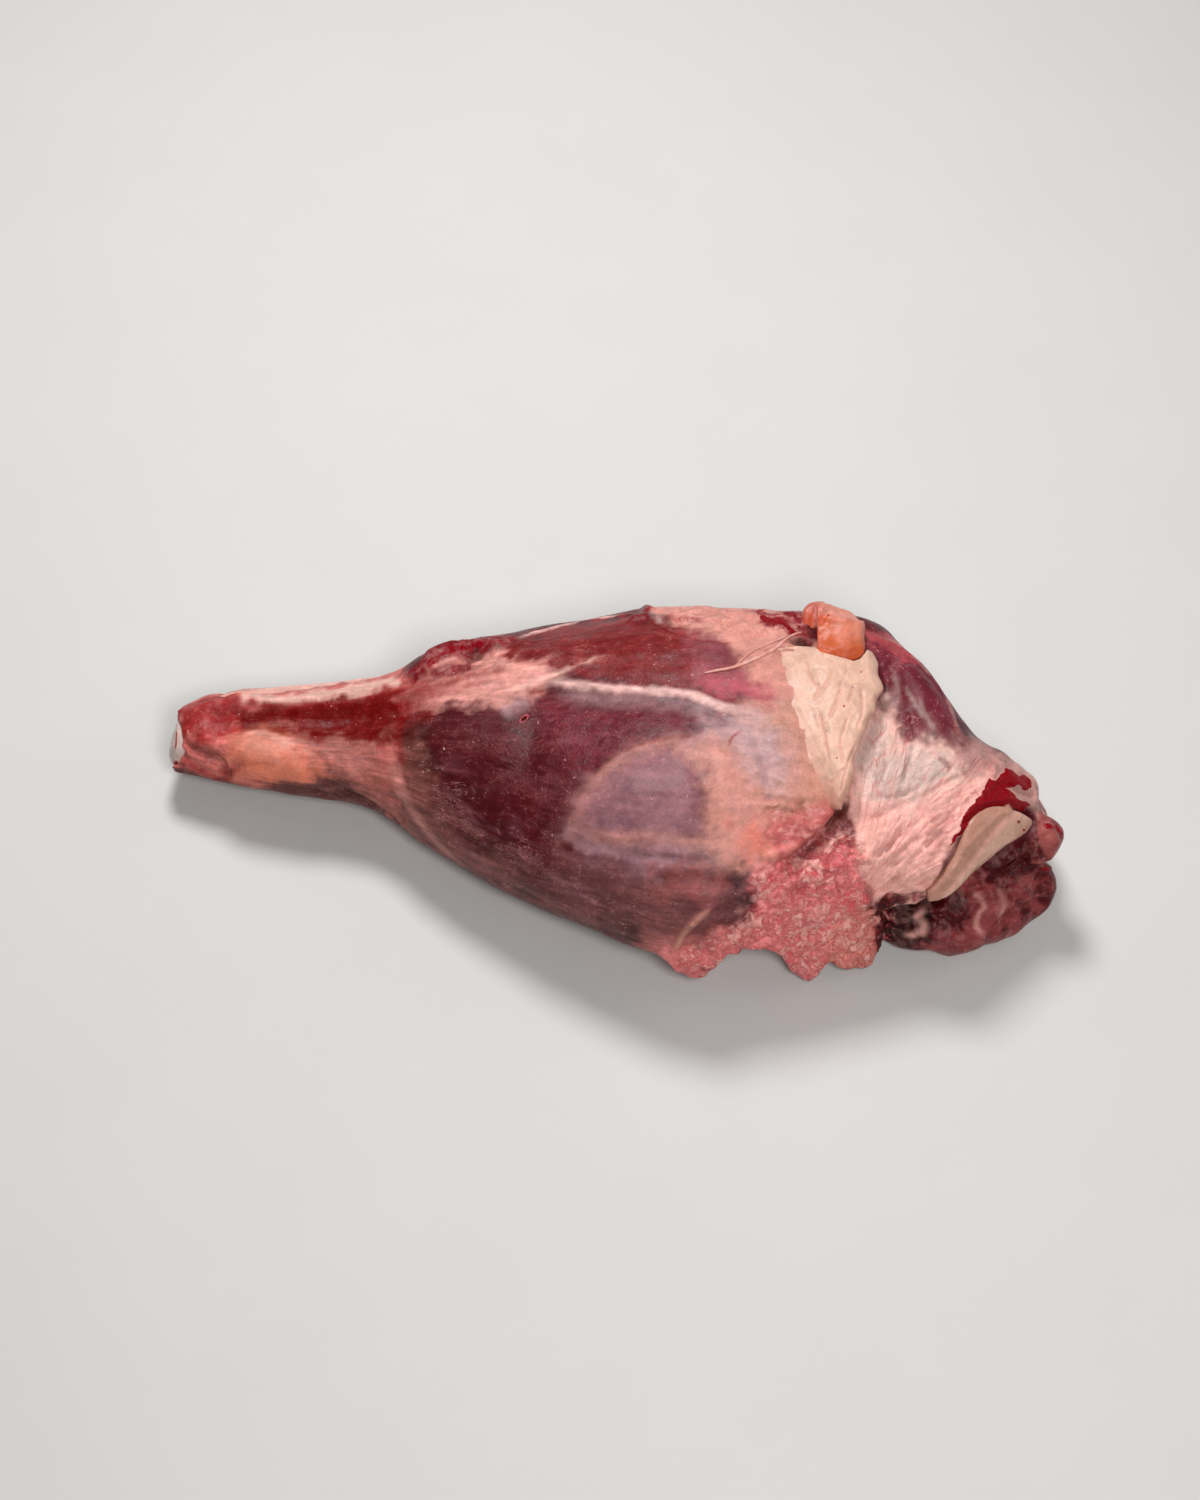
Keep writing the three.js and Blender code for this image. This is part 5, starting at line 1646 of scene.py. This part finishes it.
class RAWLEG_OT_gristle(bpy.types.Operator):
    """Builds the plate of gristle on the front edge of the shoulder"""

    bl_idname = "rawleg.gristle"
    bl_label = "Gristle"

    def execute(self, context):
        sizes, colours = context.scene.leg_sizes, context.scene.leg_colours
        mesh, points, normals = softened("blade_gristle", sizes.lump_step / MM, GRISTLE_ROUNDS)
        tree = surface_tree(mesh)
        from_middle = to_face(points) - GRISTLE_MIDDLE
        lift = 1.6 * nearness(points, anchor(tree, smooth_line(GRISTLE_STEP)), 7)
        lift -= 1.6 * nearness(points, anchor(tree, smooth_line(GRISTLE_GROOVE)), 5)
        lift += 0.35 * unevenness(points, 25, 101, 2)
        moved = from_middle * GRISTLE_STRETCH - GRISTLE_MOVED
        moved += np.outer(GRISTLE_WIDENED * (from_middle @ GRISTLE_ASIDE), GRISTLE_ASIDE)
        points = points + lift[:, None] * normals + moved @ np.array([RIGHT, UP])
        write_points(mesh, points)

        places = to_face(points)
        edge = smooth_line(GRISTLE_EDGE)
        past = np.interp(places[:, 1], edge[::-1, 1], edge[::-1, 0]) - places[:, 0]
        tint = laid(colours.gristle, len(points), [
            (0.75 * eased(0.5 + past / 7), colours.gristle_shade),
            (0.5 * nearness(as_points(places), as_points(edge), 5), colours.shoulder_pink),
        ])
        stain = dots(places, 0.85, GRISTLE_DOTS)
        material = firm_material(colours, "smooth_gristle", 0.26)
        finish_firm("leg_gristle", mesh, tint, stain, material, "gristle", "blade_gristle")
        return {"FINISHED"}


BONE_ROUNDS = 8
BONE_BARE = 6.0  # how far the bare joint reaches, and the width over which it ends
BONE_BARE_END = 8.0
BONE_SKIN_FROM = 18.0
BONE_SLANT = 0.24  # how much the bare face leans back with height
BONE_LOWEST = -16.0
BONE_SWELL = 1.6  # away from its bare end it fills its groove in the flesh


class RAWLEG_OT_bone(bpy.types.Operator):
    """Builds the bone of the shank with its bare joint"""

    bl_idname = "rawleg.bone"
    bl_label = "Bone"

    def execute(self, context):
        sizes, colours = context.scene.leg_sizes, context.scene.leg_colours
        mesh, points, normals = softened("shank_bone", 2 * sizes.lump_step / MM, BONE_ROUNDS)
        from_face = points[:, 0] - points[:, 0].min()
        bare = eased(1 - (from_face - BONE_BARE) / BONE_BARE_END)
        lift = 1.6 * bare * unevenness(points, 14, 103, 3)
        lift += (1 - bare) * (BONE_SWELL + 0.5 * unevenness(points, 30, 109, 2))
        slant = BONE_SLANT * bare * (to_face(points)[:, 1] - BONE_LOWEST)
        points = points + lift[:, None] * normals + np.outer(np.maximum(slant, 0), RIGHT)
        write_points(mesh, points)

        marrow = unevenness(points, 14, 105, 3)
        skin = eased((from_face - BONE_SKIN_FROM) / 8)
        strands = drawn_out(points, 0.25)
        tint = laid(colours.joint, len(points), [
            (0.35 * eased(marrow * 2), colours.bone_skin),
            (0.35 * eased((46 - points[:, 2]) / 24), colours.fascia_pink),
            (0.9 * skin, colours.veil_pink),
            (0.6 * skin * eased(0.5 + 2.5 * unevenness(strands, 12, 119, 3)), colours.bone_skin),
            (0.6 * skin * eased(3 * unevenness(strands, 18, 121, 3)), colours.fascia_pink),
        ])
        stain = 0.7 * eased((from_face - 5) / 5) * eased(1 - (from_face - 12) / 6) * eased(0.6 + marrow)
        material = firm_material(colours, "joint_bone", 0.25)
        finish_firm("leg_bone", mesh, tint, stain, material, "bone", "shank_bone")
        return {"FINISHED"}


# ---------------- strand and vessel

TUBE_SIDES = 10
VESSEL_STEPS = 28


def tube(shape, line, radius, flatness, taper):
    """Adds a closed tube along a line of points, thinner towards both ends when it tapers."""
    rings = []
    count = len(line)
    for index, point in enumerate(line):
        ahead = Vector(line[min(index + 1, count - 1)]) - Vector(line[max(index - 1, 0)])
        share = index / (count - 1)
        wide = radius * (1 - taper * abs(2 * share - 1) ** 3)
        turn = ahead.to_track_quat("Z", "Y").to_matrix().to_4x4()
        place = Matrix.Translation(Vector(point)) @ turn @ Matrix.Diagonal((wide, wide * flatness, 1, 1))
        ends = index in (0, count - 1)
        ring = bmesh.ops.create_circle(shape, segments=TUBE_SIDES, radius=1.0, cap_ends=ends, matrix=place)
        rings.append(ring["verts"])
    for first, second in zip(rings, rings[1:]):
        edges = []
        for ring in (first, second):
            members = set(ring)
            edges += [e for v in ring for e in v.link_edges if set(e.verts) <= members]
        edges = [e for e in dict.fromkeys(edges) if len(e.link_faces) < 2]
        bmesh.ops.bridge_loops(shape, edges=edges)
    bmesh.ops.recalc_face_normals(shape, faces=shape.faces)


def vessel(length):
    """A flattened ring, about its own middle."""
    shape = bmesh.new()
    thick = length * 0.13
    place = Matrix.Translation((length / 2 - thick, 0, 0)) @ Matrix.Rotation(math.pi / 2, 4, "X")
    ring = bmesh.ops.create_circle(shape, segments=TUBE_SIDES, radius=thick, matrix=place)["verts"]
    loop = ring + list({edge for vert in ring for edge in vert.link_edges})
    bmesh.ops.spin(
        shape, geom=loop, cent=(0, 0, 0), axis=(0, 0, 1), angle=2 * math.pi, steps=VESSEL_STEPS,
        use_merge=True,
    )
    bmesh.ops.scale(shape, verts=shape.verts, vec=(1.0, 0.5, 1.0))
    bmesh.ops.recalc_face_normals(shape, faces=shape.faces)
    return shape


class RAWLEG_OT_strands(bpy.types.Operator):
    """Builds the loose strand of tendon by the fat and the cut end of a vessel"""

    bl_idname = "rawleg.strands"
    bl_label = "Strand and vessel"

    def execute(self, context):
        sizes, colours = context.scene.leg_sizes, context.scene.leg_colours
        tree = flesh_tree()
        wide = sizes.strand_width / MM / 2
        shape = bmesh.new()
        for marks, share in ((STRAND, 1.0), (STRAND_BRANCH, 0.6)):
            line = anchor(tree, smooth_line(marks, 4.0)) - FORWARD * wide * 0.4
            tube(shape, line, wide * share, 0.6, 0.55)
        mesh = mesh_from(shape, "leg_strand")
        points = read_points(mesh)
        pale = 0.5 * eased(unevenness(points, 9, 107) * 3)
        tint = laid(colours.pale_fat, len(points), [(pale, colours.band_cream)])
        material = firm_material(colours, "tendon_strand", 0.3)
        finish_firm("leg_strand", mesh, tint, np.zeros(len(points)), material, "fat")

        shape = vessel(sizes.vessel_length / MM)
        x_axis = Vector(RIGHT) * math.cos(VESSEL_TILT) + Vector(UP) * math.sin(VESSEL_TILT)
        z_axis = -Vector(FORWARD)
        turn = Matrix((x_axis, z_axis.cross(x_axis), z_axis)).transposed().to_4x4()
        place = Matrix.Translation(anchor(tree, [VESSEL])[0] - FORWARD * 0.6)
        bmesh.ops.transform(shape, verts=shape.verts, matrix=place @ turn)
        mesh = mesh_from(shape, "leg_vessel")
        count = len(mesh.vertices)
        material = firm_material(colours, "cut_vessel", 0.22)
        finish_firm("leg_vessel", mesh, laid(colours.rose, count), np.full(count, 0.45), material, "flesh")
        return {"FINISHED"}


# ---------------- the stage

WORLD_COLOUR = (0.92, 0.96, 1.0, 1.0)
WORLD_STRENGTH = 0.16
FLOOR_ROUGHNESS = 0.75
CAMERA_REACH = 30.0
LIGHTS = [
    # name, place from the aim in metres, size, watts
    ("key_light", (-0.3, 1.3, 2.3), 0.8, 56.0),
    ("front_light", (0.4, -1.7, 2.3), 0.8, 40.0),
    ("side_light", (2.2, 0.3, 1.3), 1.2, 5.0),
]


def put(context, name, data, location=(0.0, 0.0, 0.0), turn=(0.0, 0.0, 0.0)):
    """Puts a new object into the scene."""
    made = bpy.data.objects.new(name, data)
    made.location = location
    made.rotation_euler = turn
    context.scene.collection.objects.link(made)
    return made


class RAWLEG_OT_stage(bpy.types.Operator):
    """Lays the pale floor, sets the soft lights and places the camera"""

    bl_idname = "rawleg.stage"
    bl_label = "Stage"

    def execute(self, context):
        scene = context.scene
        sizes, colours = scene.leg_sizes, scene.leg_colours
        shape = bmesh.new()
        bmesh.ops.create_grid(shape, x_segments=1, y_segments=1, size=sizes.floor_length / 2)
        mesh = mesh_from(shape, "floor")
        material, tree, shader = new_material("pale_floor")
        speck = varied(grained(signal(tree, "ShaderNodeTexCoord", "Object"), 6.0, 4.0), 0.985, 1.0)
        fill(shader, {"Base Color": scaled_colour(colours.floor, speck), "Roughness": FLOOR_ROUGHNESS})
        mesh.materials.append(material)
        floor = put(context, "floor", mesh)

        aim = Vector(AIM * MM)
        for name, offset, size, power in LIGHTS:
            data = bpy.data.lights.new(name, "AREA")
            data.shape = "DISK"
            data.size = size
            data.energy = power
            turn = (-Vector(offset)).to_track_quat("-Z", "Y").to_euler()
            put(context, name, data, aim + Vector(offset), turn)
        world = bpy.data.worlds.new("soft_room")
        world.use_nodes = True
        fill(world.node_tree.nodes["Background"], {"Color": WORLD_COLOUR, "Strength": WORLD_STRENGTH})
        scene.world = world
        scene.view_settings.view_transform = "Standard"

        data = bpy.data.cameras.new("camera")
        data.lens = CAMERA_LENS
        data.sensor_width = CAMERA_SENSOR
        data.sensor_fit = "AUTO"
        data.clip_end = CAMERA_REACH
        scene.camera = put(context, "camera", data, EYE * MM, (math.pi / 2 - VIEW_RISE, 0.0, 0.0))
        return {"FINISHED"}


# ---------------- panel and registration

STEPS = (
    RAWLEG_OT_flesh, RAWLEG_OT_fat_cap, RAWLEG_OT_fat_block, RAWLEG_OT_gristle, RAWLEG_OT_bone,
    RAWLEG_OT_strands, RAWLEG_OT_stage,
)


class RAWLEG_PT_panel(bpy.types.Panel):
    """The pieces of the leg, in the order that they are built."""

    bl_idname = "RAWLEG_PT_panel"
    bl_label = "Raw leg"
    bl_space_type = "VIEW_3D"
    bl_region_type = "UI"
    bl_category = "Raw leg"

    def draw(self, context):
        for step in STEPS:
            self.layout.operator(step.bl_idname)
        for group in (context.scene.leg_sizes, context.scene.leg_colours):
            for name in group.__annotations__:
                self.layout.prop(group, name)


CLASSES = (LegColours, LegSizes, *STEPS, RAWLEG_PT_panel)


def register():
    for each in CLASSES:
        bpy.utils.register_class(each)
    bpy.types.Scene.leg_colours = PointerProperty(type=LegColours)
    bpy.types.Scene.leg_sizes = PointerProperty(type=LegSizes)


def unregister():
    del bpy.types.Scene.leg_sizes
    del bpy.types.Scene.leg_colours
    for each in reversed(CLASSES):
        bpy.utils.unregister_class(each)


def main():
    register()
    for step in STEPS:
        group, name = step.bl_idname.split(".")
        getattr(getattr(bpy.ops, group), name)()


if __name__ == "__main__":
    main()
